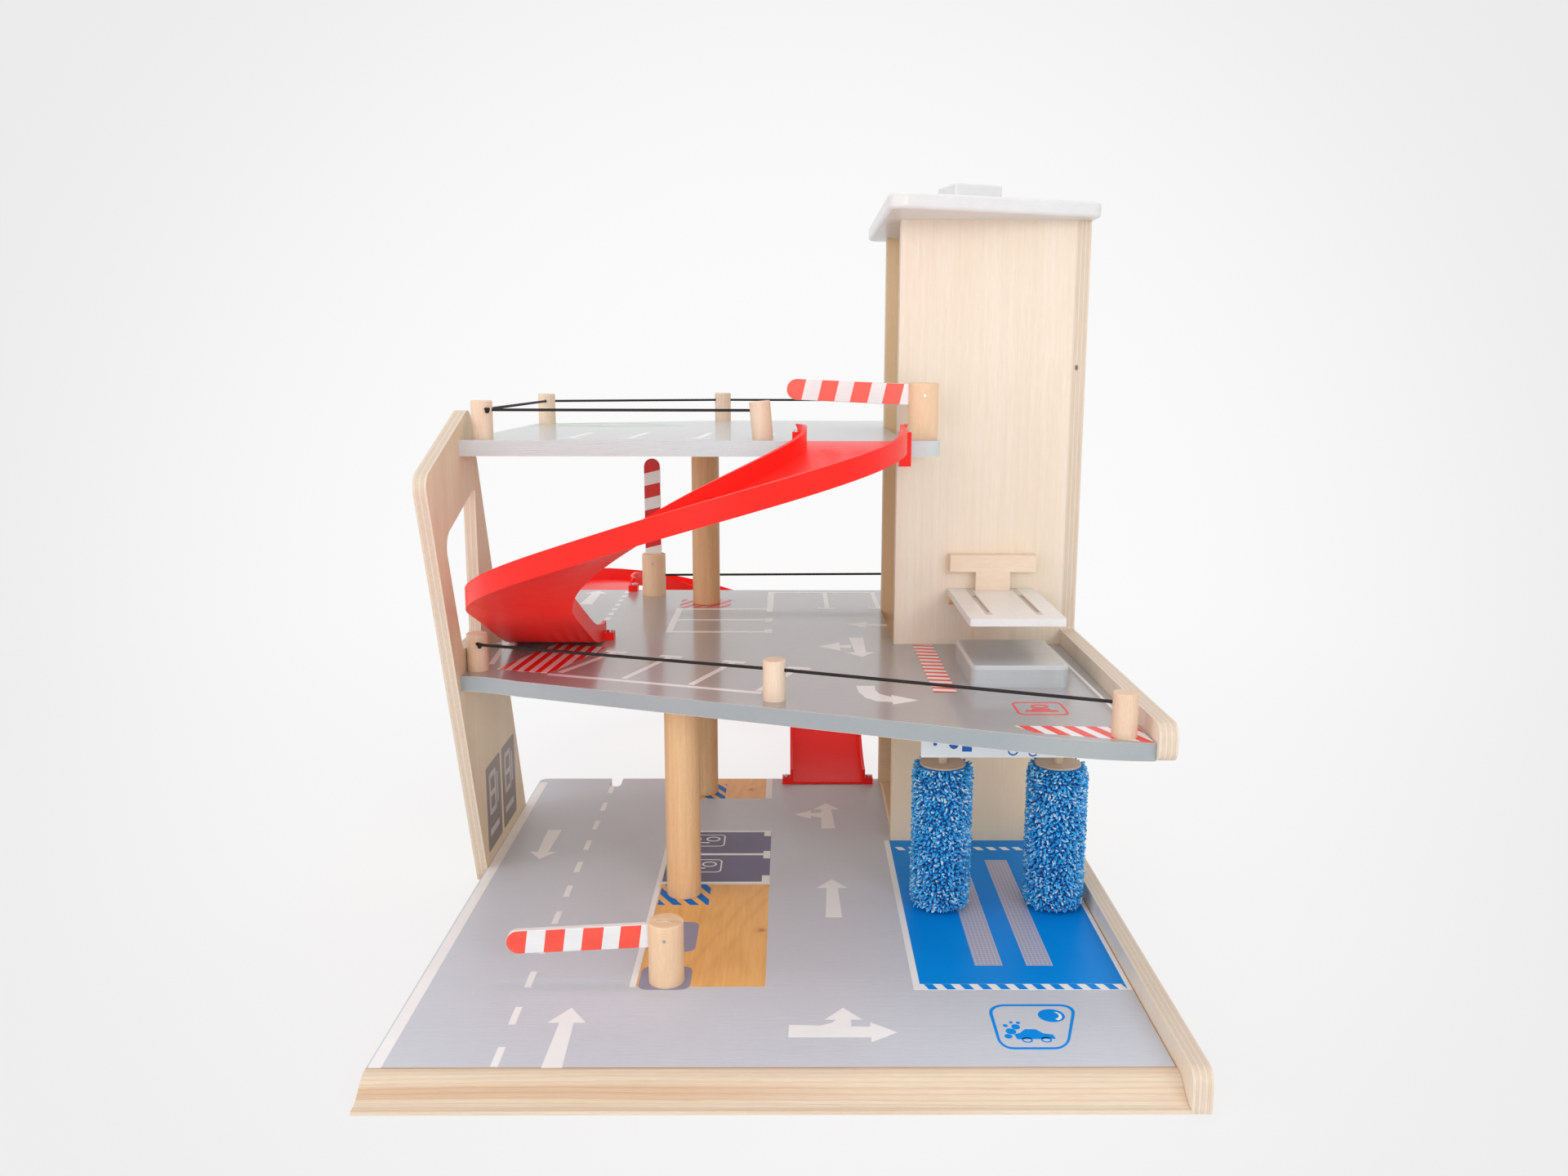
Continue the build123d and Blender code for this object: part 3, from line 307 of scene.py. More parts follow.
lift_line = [(0.20205, 0.17177, height) for height in (lift_top, 0.31, lift_foot)]
drop = cord_curve("lift_drop_line", lift_line, lift_cord_radius)
lift_drop = new_object("lift_drop", bpy.data.meshes.new_from_object(
    drop.evaluated_get(bpy.context.evaluated_depsgraph_get())))
bpy.data.objects.remove(drop)
lift_drop.data.materials.clear()
lift_drop.data.materials.append(elastic.material)
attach(lift_drop, "lift_car")
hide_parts("lift_cord")
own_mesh(lift_drop)


# Plywood boards: birch ply, 12.5 mm and 10 mm thick, sawn, sanded, lacquered and screwed together.
# The faces show straight pale grain, and the cut edges the crossed layers with thin glue lines.
# Inside the tower and at its foot the wood is painted paler and warmer, as painted light for the
# shade there, and one edge has a small dark knot.
x_axis, y_axis, z_axis = 0, 1, 2


def grain_density(axis, across, along):
    """Noise density with short cells across the grain and long ones along it."""
    return tuple(along if i == axis else across for i in range(3))


def wood_grain(finish, axis, pale, dark, figure=0.5):
    """Colour and relief of wood with its grain along an axis: bands, streaks and fine pores."""
    band = finish.noise(grain_density(axis, 38, 1.6), detail=1.0)
    streak = finish.noise(grain_density(axis, 300, 7), detail=3.0)
    pore = finish.noise(grain_density(axis, 2400, 60), detail=1.0)
    depth = band * (0.45 * figure) + streak * (0.4 * figure) + pore * 0.22
    return finish.mix(depth, pale, dark), streak * 0.5 + pore


def ply_edge(finish, axis, low, thickness, layers):
    """Masks of the cut edge, every second layer and the glue lines, by height in the board."""
    face_band, glue_above, glue_below = 0.012, 0.07, 0.96
    height = (finish.axes[axis] - low) / thickness
    edge = (height > face_band) * (height < 1 - face_band)
    layer = height * layers
    part = layer.maths("FRACT")
    second = (layer * 0.5).maths("FRACT") > 0.5
    return edge, second, (part < glue_above) + (part > glue_below)


birch_pale, birch_dark = (244, 232, 215), (231, 207, 180)
layer_pale, layer_tan = (227, 213, 196), (213, 189, 163)
glue_brown = (176, 130, 96)


def ply_finish(name, axis, low, thickness, grain, layers=5, pale=birch_pale, dark=birch_dark):
    """Lacquered plywood for a board of a thickness that starts at low along an axis."""
    finish = Finish(name, roughness=0.48, coat=0.12, coat_roughness=0.3)
    face, relief = wood_grain(finish, grain, pale, dark, figure=0.55)
    edge, second, glue = ply_edge(finish, axis, low, thickness, layers)
    fibre = finish.noise(grain_density(grain, 900, 45))
    cut = finish.mix(second * 0.42 + fibre * 0.4, layer_pale, layer_tan)
    cut = finish.mix(glue * 0.42, cut, glue_brown)
    finish.face, finish.edge = face, edge
    finish.sawn = finish.mix(edge, face, cut)
    finish.colour(finish.sawn)
    finish.relief(relief, 0.00012)
    return finish


right_panel = ply_finish("right_panel_ply", x_axis, 0.25, 0.0125, z_axis, layers=7)
knot_x, knot_z, knot_squash = 0.2545, 0.438, 0.6
edge_front, edge_back = 0.09, 0.102
y = right_panel.axes[y_axis]
knot_place = right_panel.vector("MULTIPLY", right_panel.place, (1.0, 0.0, knot_squash))
knot_gap = right_panel.vector("DISTANCE", knot_place, (knot_x, 0.0, knot_z * knot_squash), output=1)
front_edge = (y < edge_back) * (y > edge_front)
dark_knot = right_panel.ramp(knot_gap, 0.0008, 0.002, 0.85, 0.0) * front_edge
right_panel.colour(right_panel.mix(dark_knot, right_panel.sawn, (92, 58, 36)))
right_panel.dress("right_side_panel")
ply_finish("left_panel_ply", x_axis, -0.26, 0.01, z_axis, pale=(240, 222, 192),
           dark=(210, 180, 142)).dress("left_side_panel")
tower_front = ply_finish("tower_front_ply", y_axis, 0.099, 0.0125, z_axis)
warm_below, plain_above, inner_side = 0.1, 0.19, 0.2502
# Painted light: the front panel's foot, in shade under the middle deck, is painted paler and
# warmer.
painted_light_foot = tower_front.ramp(tower_front.axes[z_axis], warm_below, plain_above, 0.75, 0.0)
tower_front.colour(tower_front.mix(painted_light_foot, tower_front.sawn, (255, 226, 188)))
tower_front.dress("tower_front_panel")
tower_back = ply_finish("tower_back_ply", y_axis, 0.25, 0.0125, z_axis)
# Painted light: the back panel's face inside the tower, in the tower's shade, is painted paler and
# warmer.
painted_light_face = (tower_back.axes[y_axis] < inner_side) * 0.95
tower_back.colour(tower_back.mix(painted_light_face, tower_back.sawn, (255, 222, 176)))
tower_back.dress("tower_back_panel")


# Base board: the same ply with a printed film on top, a pale grey-lilac road surface. It lies flat
# on the table and carries the columns, the side panels and the tower.
def printed_top(finish, level, film_colour, fleck_colour, edge_paint=None):
    """Puts a printed film on a board's top, and paint on its edges where that is given."""
    top = finish.axes[z_axis] > level
    fleck, cloud = finish.noise(1500), finish.noise(9)
    film = finish.mix(fleck * 0.35 + cloud * 0.3, film_colour, fleck_colour)
    side = finish.sawn
    if edge_paint:
        side = finish.mix(finish.edge * (1 - cloud * 0.08), finish.face, edge_paint)
    finish.colour(finish.mix(top, side, film))
    return top, fleck


base_finish = ply_finish("base_print", z_axis, 0.0, 0.0125, x_axis)
top, fleck = printed_top(base_finish, 0.01245, (209, 213, 222), (200, 204, 213))
base_finish.rough(0.42 + fleck * 0.06)
base_finish.dress("base_board")


# Printed marks: screen-printed shapes on the boards. Each is a closed sheet of ink a tenth of a
# millimetre thick, drawn in millimetres from the road's lines, arrows, hatches and bays.
def signed_area(outline):
    """Area of an outline by the shoelace rule; it is positive anticlockwise."""
    x, y = outline.T
    return 0.5 * float(np.sum(x * np.roll(y, -1) - y * np.roll(x, -1)))


class Sheet:
    """The plane that marks are printed on: two directions along it, a slot name that is not used,
    and the ink's height above it in metres."""

    def __init__(self, origin, right, up, slot, ink=0.0001):
        self.origin, self.right, self.up = (np.array(v, float) for v in (origin, right, up))
        self.out = np.cross(self.right, self.up)
        self.slot, self.ink = slot, ink

    def lift(self, outline, height):
        """An outline's points in space, at a height above the sheet."""
        flat = np.asarray(outline, float) / 1000
        return self.origin + flat[:, :1] * self.right + flat[:, 1:] * self.up + height * self.out


def board_top(level, slot, ink=0.0001):
    """The sheet on a level board, seen from above."""
    return Sheet((0, 0, level), (1, 0, 0), (0, 1, 0), slot, ink)


layer_step = 1.2e-6  # between the tops of marks that cross, so that none share a plane


def print_marks(name, sheet, outlines, finish, rings=()):
    """Closed sheets of ink for plain outlines and for rings between two outlines."""
    points, faces, start = [], [], 0
    for number, outline in enumerate(outlines):
        outline = np.asarray(outline, float)
        if signed_area(outline) < 0:
            outline = outline[::-1]
        low, high = start + np.arange(2 * len(outline)).reshape(2, -1)
        points += [sheet.lift(outline, height)
                   for height in (-sheet.ink / 2, sheet.ink + number * layer_step)]
        faces += [high.tolist(), low[::-1].tolist()]
        faces += grid_faces(np.stack([low, high], -1), wrap_columns=False).tolist()
        start += 2 * len(outline)
    for outer, inner in rings:
        points += [sheet.lift(outer, -sheet.ink / 2), sheet.lift(outer, sheet.ink),
                   sheet.lift(inner, sheet.ink), sheet.lift(inner, -sheet.ink / 2)]
        faces += grid_faces(start + np.arange(4 * len(outer)).reshape(4, -1).T).tolist()
        start += 4 * len(outer)
    mesh = bpy.data.meshes.new(name)
    mesh.from_pydata(np.vstack(points).tolist(), [], faces)
    mesh.materials.append(finish.material)
    piece = new_object(name, mesh)
    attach(piece, "base")


def bar(x0, y0, x1, y1):
    """A rectangle between two corners."""
    return [(x0, y0), (x1, y0), (x1, y1), (x0, y1)]


def line(start, end, width):
    """A straight painted line between two points."""
    start, end = np.array(start, float), np.array(end, float)
    along = (end - start) / np.linalg.norm(end - start)
    side = np.array([-along[1], along[0]]) * width / 2
    return [start - side, end - side, end + side, start + side]


def arrow(tail, tip, tail_width=13.0, neck_width=9.5, head_width=25.0, head_length=17.0):
    """A road arrow whose shaft narrows a little towards its head."""
    tail, tip = np.array(tail, float), np.array(tip, float)
    along = (tip - tail) / np.linalg.norm(tip - tail)
    side = np.array([-along[1], along[0]]) / 2
    neck = tip - along * head_length
    return [tail - side * tail_width, neck - side * neck_width, neck - side * head_width, tip,
            neck + side * head_width, neck + side * neck_width, tail + side * tail_width]


def arc(x, y, x_radius, y_radius, turn):
    """The points (x + a cos t, y + b sin t) at the angles in turn."""
    return np.stack([x + x_radius * np.cos(turn), y + y_radius * np.sin(turn)], -1)


def rounded(x0, y0, x1, y1, radius, steps=6):
    """Outline of a rectangle with round corners, anticlockwise."""
    corners = [(x1 - radius, y0 + radius, -90), (x1 - radius, y1 - radius, 0),
               (x0 + radius, y1 - radius, 90), (x0 + radius, y0 + radius, 180)]
    turns = [np.linspace(0, np.pi / 2, steps) + np.radians(degrees) for _, _, degrees in corners]
    return np.vstack([arc(x, y, radius, radius, turn) for (x, y, _), turn in zip(corners, turns)])


def oval(x, y, x_radius, y_radius, steps=36):
    """Outline of an oval, anticlockwise."""
    return arc(x, y, x_radius, y_radius, np.linspace(0, 2 * np.pi, steps, endpoint=False))


def frame_ring(x0, y0, x1, y1, radius, width):
    """A rounded frame of even width, as its outer and inner outlines."""
    return (rounded(x0, y0, x1, y1, radius),
            rounded(x0 + width, y0 + width, x1 - width, y1 - width, radius - width))


def oval_ring(x, y, x_radius, y_radius, width):
    """An oval ring of even width, as its outer and inner outlines."""
    return oval(x, y, x_radius, y_radius), oval(x, y, x_radius - width, y_radius - width)


def trim(outline, point, inward):
    """The part of a convex outline on the inner side of a line."""
    outline, point, inward = (np.asarray(v, float) for v in (outline, point, inward))
    kept = []
    for here, there in zip(outline, np.roll(outline, -1, 0)):
        depth, next_depth = (here - point) @ inward, (there - point) @ inward
        if depth >= 0:
            kept.append(here)
        if (depth >= 0) != (next_depth >= 0):
            kept.append(here + (there - here) * depth / (depth - next_depth))
    return np.array(kept)


def hatch(outline, degrees, pitch, width, shift=0.0, smallest=0.5):
    """Parallel stripes across a convex outline, at an angle to the X direction. Slivers whose area
    is under the smallest are left out."""
    outline = np.asarray(outline, float)
    across = np.array([-np.sin(np.radians(degrees)), np.cos(np.radians(degrees))])
    reach = outline @ across
    stripes = []
    lowest = np.floor(reach.min() / pitch) * pitch + shift - pitch
    for start in np.arange(lowest, reach.max(), pitch):
        stripe = trim(outline, across * start, across)
        if len(stripe) > 2:
            stripe = trim(stripe, across * (start + width), -across)
        if len(stripe) > 2 and abs(signed_area(stripe)) > smallest:
            stripes.append(stripe)
    return stripes


def darker(colour, step):
    """A display colour that is darker by a step."""
    return [max(0, value - step) for value in colour]


def ink(name, colour, roughness=0.42, coat=0.0, variation=10, specular=0.25):
    """Screen-print ink: an even colour with faint pinholes and cloudy density."""
    finish = Finish(name, roughness, coat, specular=specular)
    spot, cloud = finish.noise(2200, detail=1.0), finish.noise(30)
    finish.colour(finish.mix(spot * 0.4 + cloud * 0.5, colour, darker(colour, variation)))
    finish.relief(spot, 0.00002)
    return finish


ground = board_top(0.0125, "ground_print", ink=0.00012)
ground_fields = board_top(0.0125, "ground_print", ink=0.00006)
road_white = ink("road_white_ink", (248, 248, 248))
dash_pitch, dash_length = 49.27, 22.0
ground_marks = [bar(-249, -269.5, -240.8, 258)]
dash_feet = [-268 + dash_pitch * i for i in range(11)]
ground_marks += [bar(-174.2, foot, -169.4, foot + dash_length) for foot in dash_feet]
ground_marks += [
    arrow((-208.3, 125), (-209.2, 56), head_length=16, head_width=23),
    arrow((-136, -269.5), (-136.3, -197.6), head_length=19),
    arrow((45.4, -59.6), (46.1, 12.4)),
    arrow((9.9, -227.2), (80.2, -229), tail_width=15, neck_width=12.5, head_width=24),
    [(30, -221), (38.5, -217.2), (41.3, -213), (34, -213), (46.5, -198), (58.4, -213), (51, -213),
     (51, -221)],
    arrow((46.9, 128.8), (46.4, 196)),
    [(42.4, 156), (42.4, 171), (36, 168.8), (31.2, 169), (31.2, 175.7), (15.8, 164.7),
     (31.2, 153.9), (31.2, 160.4)],
    line((-99, -169.5), (-98.6, 124), 4.4),
    bar(-98.6, 119, -6.4, 122.6), bar(-98.6, 64.4, -12, 68.6), bar(-98.6, 2.6, -6, 7.6),
    bar(-12.8, 109.5, -6.6, 119), bar(-12.6, 57.4, -6.6, 73.9), bar(-12.8, 7.6, -6.2, 20.7),
    bar(-13.4, 209.8, -7.2, 269.6),
    bar(96.8, -173.9, 101.6, 98.6), bar(101.6, -173.9, 249, -166), bar(245.6, -166, 249, 98.6),
]
print_marks("ground_white_marks", ground, ground_marks, road_white)
raw_edge = ink("raw_edge_ink", (198, 146, 100))
print_marks("ground_raw_edges", ground_fields,
            [bar(-249.8, -269.9, 249.9, -269.1), bar(249.1, -269.1, 249.9, 98.6)], raw_edge)


# Slate bays and post pads: two dark parking bays in the middle of the road and a plain pad under
# the front barrier's post and beside it, printed below the white lines.
slate = ink("slate_ink", (118, 118, 146))
slate_marks = [bar(-96.4, 7.6, -6.4, 64.4), bar(-96.4, 68.6, -6.4, 119)]
print_marks("ground_slate_bays", ground_fields, slate_marks, slate)
pad_ink = ink("pad_ink", (156, 152, 176))
print_marks("ground_post_pads", ground,
            [rounded(-95.2, -173.7, -58.9, -140, 7),
             rounded(-95.2, -117.5, -59.4, -68, 7)], pad_ink)


# Bay pictograms: plain pale outlines of a charging pump, one in each slate bay, printed with the
# road's white ink.
bay_signs, bay_rings = [], []
for foot in (27.0, 84.6):
    bay_rings += [frame_ring(-86, foot, -48, foot + 28, 5, 1.3),
                  oval_ring(-59, foot + 17.5, 6.5, 5.5, 1.6)]
    bay_signs += [bar(-80, foot + 15, -70, foot + 20), bar(-80, foot + 8, -62, foot + 10)]
print_marks("ground_bay_signs", ground, bay_signs, road_white, rings=bay_rings)


# Wood-look bays: a warm timber print beside the posts and at the back edge, with slanted growth
# lines that bend round two small knots. Blue stripes are printed over it round the columns' feet.
timber = Finish("timber_print", roughness=0.4)
x, y, z = timber.axes
knot_pull = 0
for place in ((-0.0108, -0.0823, 0.0126), (-0.028, 0.236, 0.0126)):
    gap = timber.vector("DISTANCE", timber.place, place, output=1)
    knot_pull = (gap * -110).maths("EXPONENT") + knot_pull
rings = wave((x * 0.94 - y * 0.34) * 250 + timber.noise((16, 7, 7)) * 11 + knot_pull * 7) ** 4
streak = timber.noise((420, 40, 40), detail=3.0)
tone = timber.mix(rings * 0.24 + streak * 0.3, (247, 191, 114), (218, 152, 80))
dark_heart = ((knot_pull * 1.15) ** 7).maths("MINIMUM", 0.6)
timber.colour(timber.mix(dark_heart, tone, (150, 72, 34)))
print_marks("ground_timber_bays", ground_fields,
            [bar(-96.5, -169.5, -6.4, 2.4), bar(-94, 209.8, -13.4, 269.6)], timber)
hatch_blue = ink("hatch_blue_ink", (0, 122, 214), specular=0.1)
print_marks("ground_blue_hatch", ground,
            hatch(bar(-95.5, -37.5, -54.5, 2.4), 121, 11.6, 6.4, 3)
            + hatch(bar(-95.5, 209.8, -54, 252), 121, 11.6, 6.4, 5), hatch_blue)


# Wash bay: a strong blue field with slanted blue and white end rows and two gridded wheel tracks.
# The blue lies over the white frame, and the dashes and tracks lie over the blue.
def slanted(x, width, back, front, slant=3.0):
    """One dash of an end row; it leans to the right towards its front."""
    return [(x, back), (x + width, back), (x + width + slant, front), (x + slant, front)]


over_ground = board_top(0.0125, "ground_print", ink=0.00018)
over_blue = board_top(0.0125, "ground_print", ink=0.00026)
wash_blue = ink("wash_blue_ink", (0, 144, 236), roughness=0.33, variation=8, specular=0.08)
field_right = 245.6
blue_fields = [bar(101.6, -166, field_right, 98.6)]
for i in range(12):
    blue_fields.append(np.minimum(slanted(104.3 + 12.6 * i, 6.4, -166.2, -173.6), (field_right, 0)))
print_marks("wash_blue_field", over_ground, blue_fields, wash_blue)
wash_dashes = [slanted(105.4 + 11.7 * i, 6.2, 82.6, 75.6) for i in range(12)]
print_marks("wash_dashes", over_blue, wash_dashes, road_white)


# Wheel tracks: pale lilac ink with a fine light grid, printed over the blue field where the wheels
# run between the brushes.
track = Finish("track_ink", roughness=0.4)
x, y, z = track.axes
lines_per_metre, line_share = 330, 0.24
across, along = ((axis * lines_per_metre).maths("FRACT") < line_share for axis in (x, y))
share = (across + along).maths("MINIMUM", 1.0) * 0.75 + track.noise(1800) * 0.15
track.colour(track.mix(share, (160, 163, 192), (206, 203, 216)))
print_marks("wash_tracks", over_blue,
            [bar(144.4, -139.2, 164.4, 53), bar(181.6, -139.4, 200.8, 53)], track)


# Wash pictogram: a round-cornered frame that narrows towards the front, with a plain bubble, a
# small car in side view and foam behind it, in the wash bay's blue ink.
def narrowed(outline, left=144.0, top=-193.8, slope=0.0053):
    """Narrows an outline towards the front, as the print's frame does."""
    outline = np.array(outline, float)
    outline[:, 0] = left + (outline[:, 0] - left) * (1 - slope * (top - outline[:, 1]))
    return outline


car_body = [(157, -237.5), (156, -231.5), (160, -230), (164, -225.5), (171, -225.5), (175, -230.5),
            (181, -232), (182, -237)]
foam = [oval(154.5, -228, 3.4, 3.6), oval(158.6, -222.5, 2.8, 3.2), oval(152, -221, 1.6, 1.8),
        oval(156.4, -217, 1.2, 1.4), oval(151.8, -234, 2.6, 2.6), oval(161, -217.5, 1.4, 1.5)]
wash_rings = [tuple(narrowed(o) for o in frame_ring(144, -249.4, 205.2, -193.8, 12, 2.4)),
              oval_ring(163.2, -238.4, 3.5, 3.2, 1.1), oval_ring(175.6, -238.2, 3.5, 3.2, 1.1)]
bubble_turn = np.linspace(-0.9, 1.1, 14)
glint = np.vstack([arc(185.2, -209, 6.6, -6.2, bubble_turn),
                   arc(183.8, -208.2, 6.2, -5.2, bubble_turn)[::-1]])
print_marks("wash_pictogram", ground, [car_body, oval(185, -208.4, 8.9, 8.2), *foam], wash_blue,
            rings=wash_rings)
print_marks("wash_bubble_glint", over_ground, [glint], road_white)


# Front ramp: a moulded pine strip, glued along the base board's front edge for cars to drive up.
# Its grain runs across the garage, with pinkish-brown growth lines and a warm heart stripe.
pine = Finish("pine_strip", roughness=0.5, coat=0.1, coat_roughness=0.35)
x, y, z = pine.axes
face, relief = wood_grain(pine, x_axis, (234, 220, 199), (214, 187, 157), figure=0.6)
sway = pine.noise((3, 40, 40))
depth = y * -34.5 - 9.31  # 0 at the board and 1 at the strip's front edge
lines = wave(depth * 62 + sway * 6) ** 3
heart = pine.ramp(abs(depth - 0.6 + sway * 0.08), 0.06, 0.2, 1.0, 0.0)
heart = heart * pine.ramp(x, -0.08, 0.12, 1.0, 0.25)
rim = pine.ramp(depth, 0.02, 0.06, 1.0, 0.0)
pine.colour(pine.mix(lines * 0.3 + heart * 0.66 + rim * 0.5, face, (206, 167, 133)))
pine.relief(relief, 0.00012)
pine.dress("front_ramp")


# Decks: ply with cool grey painted edges under a glossy printed film, screwed to the columns and
# the panels. The upper one is paler.
def deck_finish(name, level, film, fleck_colour, edge_paint, coat):
    """A deck's ply with its film, painted edges and a clear coat on top only."""
    finish = ply_finish(name, z_axis, level - 0.0125, 0.0125, x_axis)
    top, fleck = printed_top(finish, level - 0.00005, film, fleck_colour, edge_paint)
    finish.rough(0.5 - top * 0.2 + fleck * 0.03)
    finish.set(finish.shader.inputs["Coat Weight"], top * coat + 0.12)
    finish.shader.inputs["Coat Roughness"].default_value = 0.14
    return finish


mid_level, upper_level = 0.1965, 0.3805
deck_finish("mid_deck_print", mid_level, (168, 167, 170), (160, 159, 162),
            (154, 163, 168), 0.68).dress("mid_deck")
deck_finish("upper_deck_print", upper_level, (188, 189, 192), (182, 183, 186),
            (206, 214, 217), 0.4).dress("upper_deck")


# Middle deck's marks: slanted bays behind the front edge, back bays and arrows in white ink, with
# red warning hatches and a red pictogram over them.
middle = board_top(mid_level, "deck_print")
over_middle = board_top(mid_level, "deck_print", ink=0.0002)
deck_white = ink("deck_white_ink", (246, 247, 248), roughness=0.33, coat=0.45)
deck_red = ink("deck_red_ink", (246, 50, 44), roughness=0.35, coat=0.35)
bay_lines = [((-173.5, -5), (-139, 67)), ((-120, -25), (-90, 50)), ((-66, -44), (-35.7, 31)),
             ((-13.5, -62.5), (18, 10))]
half_bar = np.array([9.47, -3.35])
middle_marks = [line((-182, -10.8), (-10.6, -68.4), 5.4)]
for foot, head in bay_lines:
    middle_marks += [line(foot, head, 5.2), line(head - half_bar, head + half_bar, 6.4)]
middle_marks += [line((-235, 22), (-241, 98), 4.6), line((-249, 102), (-231, 96), 6.4)]
middle_marks += [bar(-169.4, 202 + 24 * i, -164, 214 + 24 * i) for i in range(7)]
middle_marks += [
    arrow((-200, 282), (-198.5, 361)),
    bar(-104.4, 146, -98, 262), bar(-98, 255.4, -12.6, 261.4), bar(-98, 201.4, -6.4, 206.8),
    bar(-98, 146, -6.4, 152.2), bar(-13.2, 196, -6, 211.5), bar(-13, 144.7, -6, 161.4),
    bar(-12.8, 244, -6.4, 356), bar(-6.4, 348, 103, 354.6), bar(46.2, 266, 51, 348),
    bar(38.9, 259.4, 58.1, 266), bar(98.4, 266, 103, 348), bar(90.6, 259.4, 103, 266),
    arrow((103, 179.6), (65, 182.6), tail_width=10.5, neck_width=10, head_width=29, head_length=19),
    arrow((70.6, 124.5), (71.6, 49)),
    [(64, 83), (64, 94), (54.6, 93.6), (54.6, 104.4), (35.5, 88.4), (54.6, 73), (54.6, 84.4)],
    [(61.3, -46.8), (75.7, -46.8), (75.4, -60), (77.6, -70), (86, -79.6), (86.3, -73.9),
     (104.9, -88.4), (85.5, -99.6), (85.5, -93), (74, -90.6), (66.4, -81), (62.4, -66)],
    bar(119.2, -65.7, 136.6, 95.2), line((238.4, 92), (243.4, -128), 2.6),
]
left_hatch = [(-227, 5), (-182, -8.5), (-149, 84), (-196, 100)]
column_hatch = bar(-102.5, 264.8, -50.5, 309)
corner_hatch = [(164, -153.5), (247.5, -157), (248.5, -193), (236, -187), (175, -170)]
middle_marks += [left_hatch, corner_hatch]
print_marks("middle_white_marks", middle, middle_marks, deck_white)
red_marks = hatch(left_hatch, 84, 10.4, 5.2) + hatch(column_hatch, 62, 11.0, 4.8)
red_marks += hatch(corner_hatch, -68, 13.8, 7) + hatch(bar(119.2, -65.7, 136.6, 95.2), -9, 11.9, 5)
sign_rings = [frame_ring(172, -126.6, 208.6, -93.4, 6, 1.5), oval_ring(191, -104.5, 6.4, 4.6, 1.4)]
red_marks += [bar(179, -118, 202, -115), bar(184, -112.6, 197, -110.8)]
print_marks("middle_red_marks", over_middle, red_marks, deck_red, rings=sign_rings)


# Upper deck's marks: pale bay lines behind the front edge, and a light green ring of lawn with
# slanted stripes at the back left corner.
upper = board_top(upper_level, "pale_deck")
upper_marks = []
for x in (-166, -117, -61.5, -6):
    upper_marks += [line((x - 3, 44), (x + 2, 128), 5), bar(x - 13, 40, x + 7, 46)]
print_marks("upper_white_marks", upper, upper_marks,
            ink("upper_white_ink", (240, 240, 238), roughness=0.3, coat=0.6))
print_marks("upper_lawn_marks", upper, hatch(bar(-246, 250, -96, 288), 28, 26, 8),
            ink("lawn_ink", (176, 208, 172), roughness=0.4, coat=0.4),
            rings=[oval_ring(-170, 285, 62, 42, 7)])


# Side panel's prints: two dark plates with plain pale pumps on the inner face of the left panel,
# screen-printed side by side on the bare wood.
plate_marks, pump_marks, pump_rings = [], [], []
for side in (46.0, 103.0):
    plate_marks.append(rounded(side, 22, side + 50, 98, 3))
    pump_rings += [frame_ring(side + 9, 52, side + 33, 90, 4, 5)]
    pump_marks += [bar(side + 14, 68, side + 28, 73), bar(side + 8, 34, side + 40, 40),
                   bar(side + 36, 56, side + 40, 84)]
inner_left = Sheet((-0.25, 0, 0), (0, 1, 0), (0, 0, 1), "sign_print")
over_plates = Sheet((-0.24992, 0, 0), (0, 1, 0), (0, 0, 1), "sign_print")
print_marks("left_panel_plates", inner_left, plate_marks, ink("plate_ink", (146, 136, 131)))
print_marks("left_panel_pumps", over_plates, pump_marks, ink("pump_ink", (206, 198, 194)),
            rings=pump_rings)


# Roof, knob, platform, block and sign: wood painted white or pale grey, sprayed in thin satin
# coats. The platform's two wheel grooves and a thin band round them are painted darker: painted
# shade.
def painted(name, colour, roughness=0.38, coat=0.25, grain_axis=x_axis):
    """Sprayed paint: even colour, faint mottle, orange-peel relief and a trace of grain."""
    finish = Finish(name, roughness=roughness, coat=coat, coat_roughness=0.15)
    mottle, peel = finish.noise(55, detail=3.0), finish.noise(700)
    grain = finish.noise(grain_density(grain_axis, 420, 9))
    finish.even = finish.mix(mottle * 0.5 + grain * 0.3, colour, darker(colour, 9))
    finish.colour(finish.even)
    finish.relief(peel * 0.6 + grain, 0.00005)
    return finish


painted("roof_white", (229, 229, 229)).dress("tower_roof")
painted("knob_grey", (228, 228, 228), roughness=0.42).dress("winch_knob")
painted("sign_white", (224, 231, 235), roughness=0.35).dress("wash_sign")
platform_paint = painted("platform_white", (237, 237, 236), roughness=0.3, grain_axis=y_axis)
x, y, z = platform_paint.axes
platform_middle, groove_reach, groove_half = 0.187, 0.02, 0.0028
groove_gap = abs(abs(x - platform_middle) - groove_reach)
# Painted shade: the grooves and a thin band along them are painted a darker beige.
painted_groove_shade = (groove_gap < groove_half) * (z > 0.2452) * (y > -0.02)
platform_paint.colour(platform_paint.mix(painted_groove_shade * 0.8, platform_paint.even, (196, 184, 174)))
platform_paint.dress("workshop_platform")
painted("block_grey", (190, 195, 198), roughness=0.28, coat=0.8).dress("workshop_block")


# Sign's print: blue shapes on the white board over the wash lane, a drop, a brush and a small car
# with two wheels.
sign_face = Sheet((0, -0.074, 0), (1, 0, 0), (0, 0, 1), "sign_print")
sign_shapes = [oval(120, 158.6, 1.5, 1.5), bar(140.4, 152.6, 147.8, 165),
               oval(134.2, 161, 4.4, 6.4), rounded(168, 158, 204, 166, 3),
               [(176, 166), (181, 172), (193, 172), (198, 166)]]
sign_wheels = [oval_ring(179, 153.6, 4.1, 4.1, 1.1), oval_ring(194, 152.4, 3.7, 3.7, 1.1)]
print_marks("sign_shapes", sign_face, sign_shapes, ink("sign_blue_ink", (24, 96, 182)),
            rings=sign_wheels)


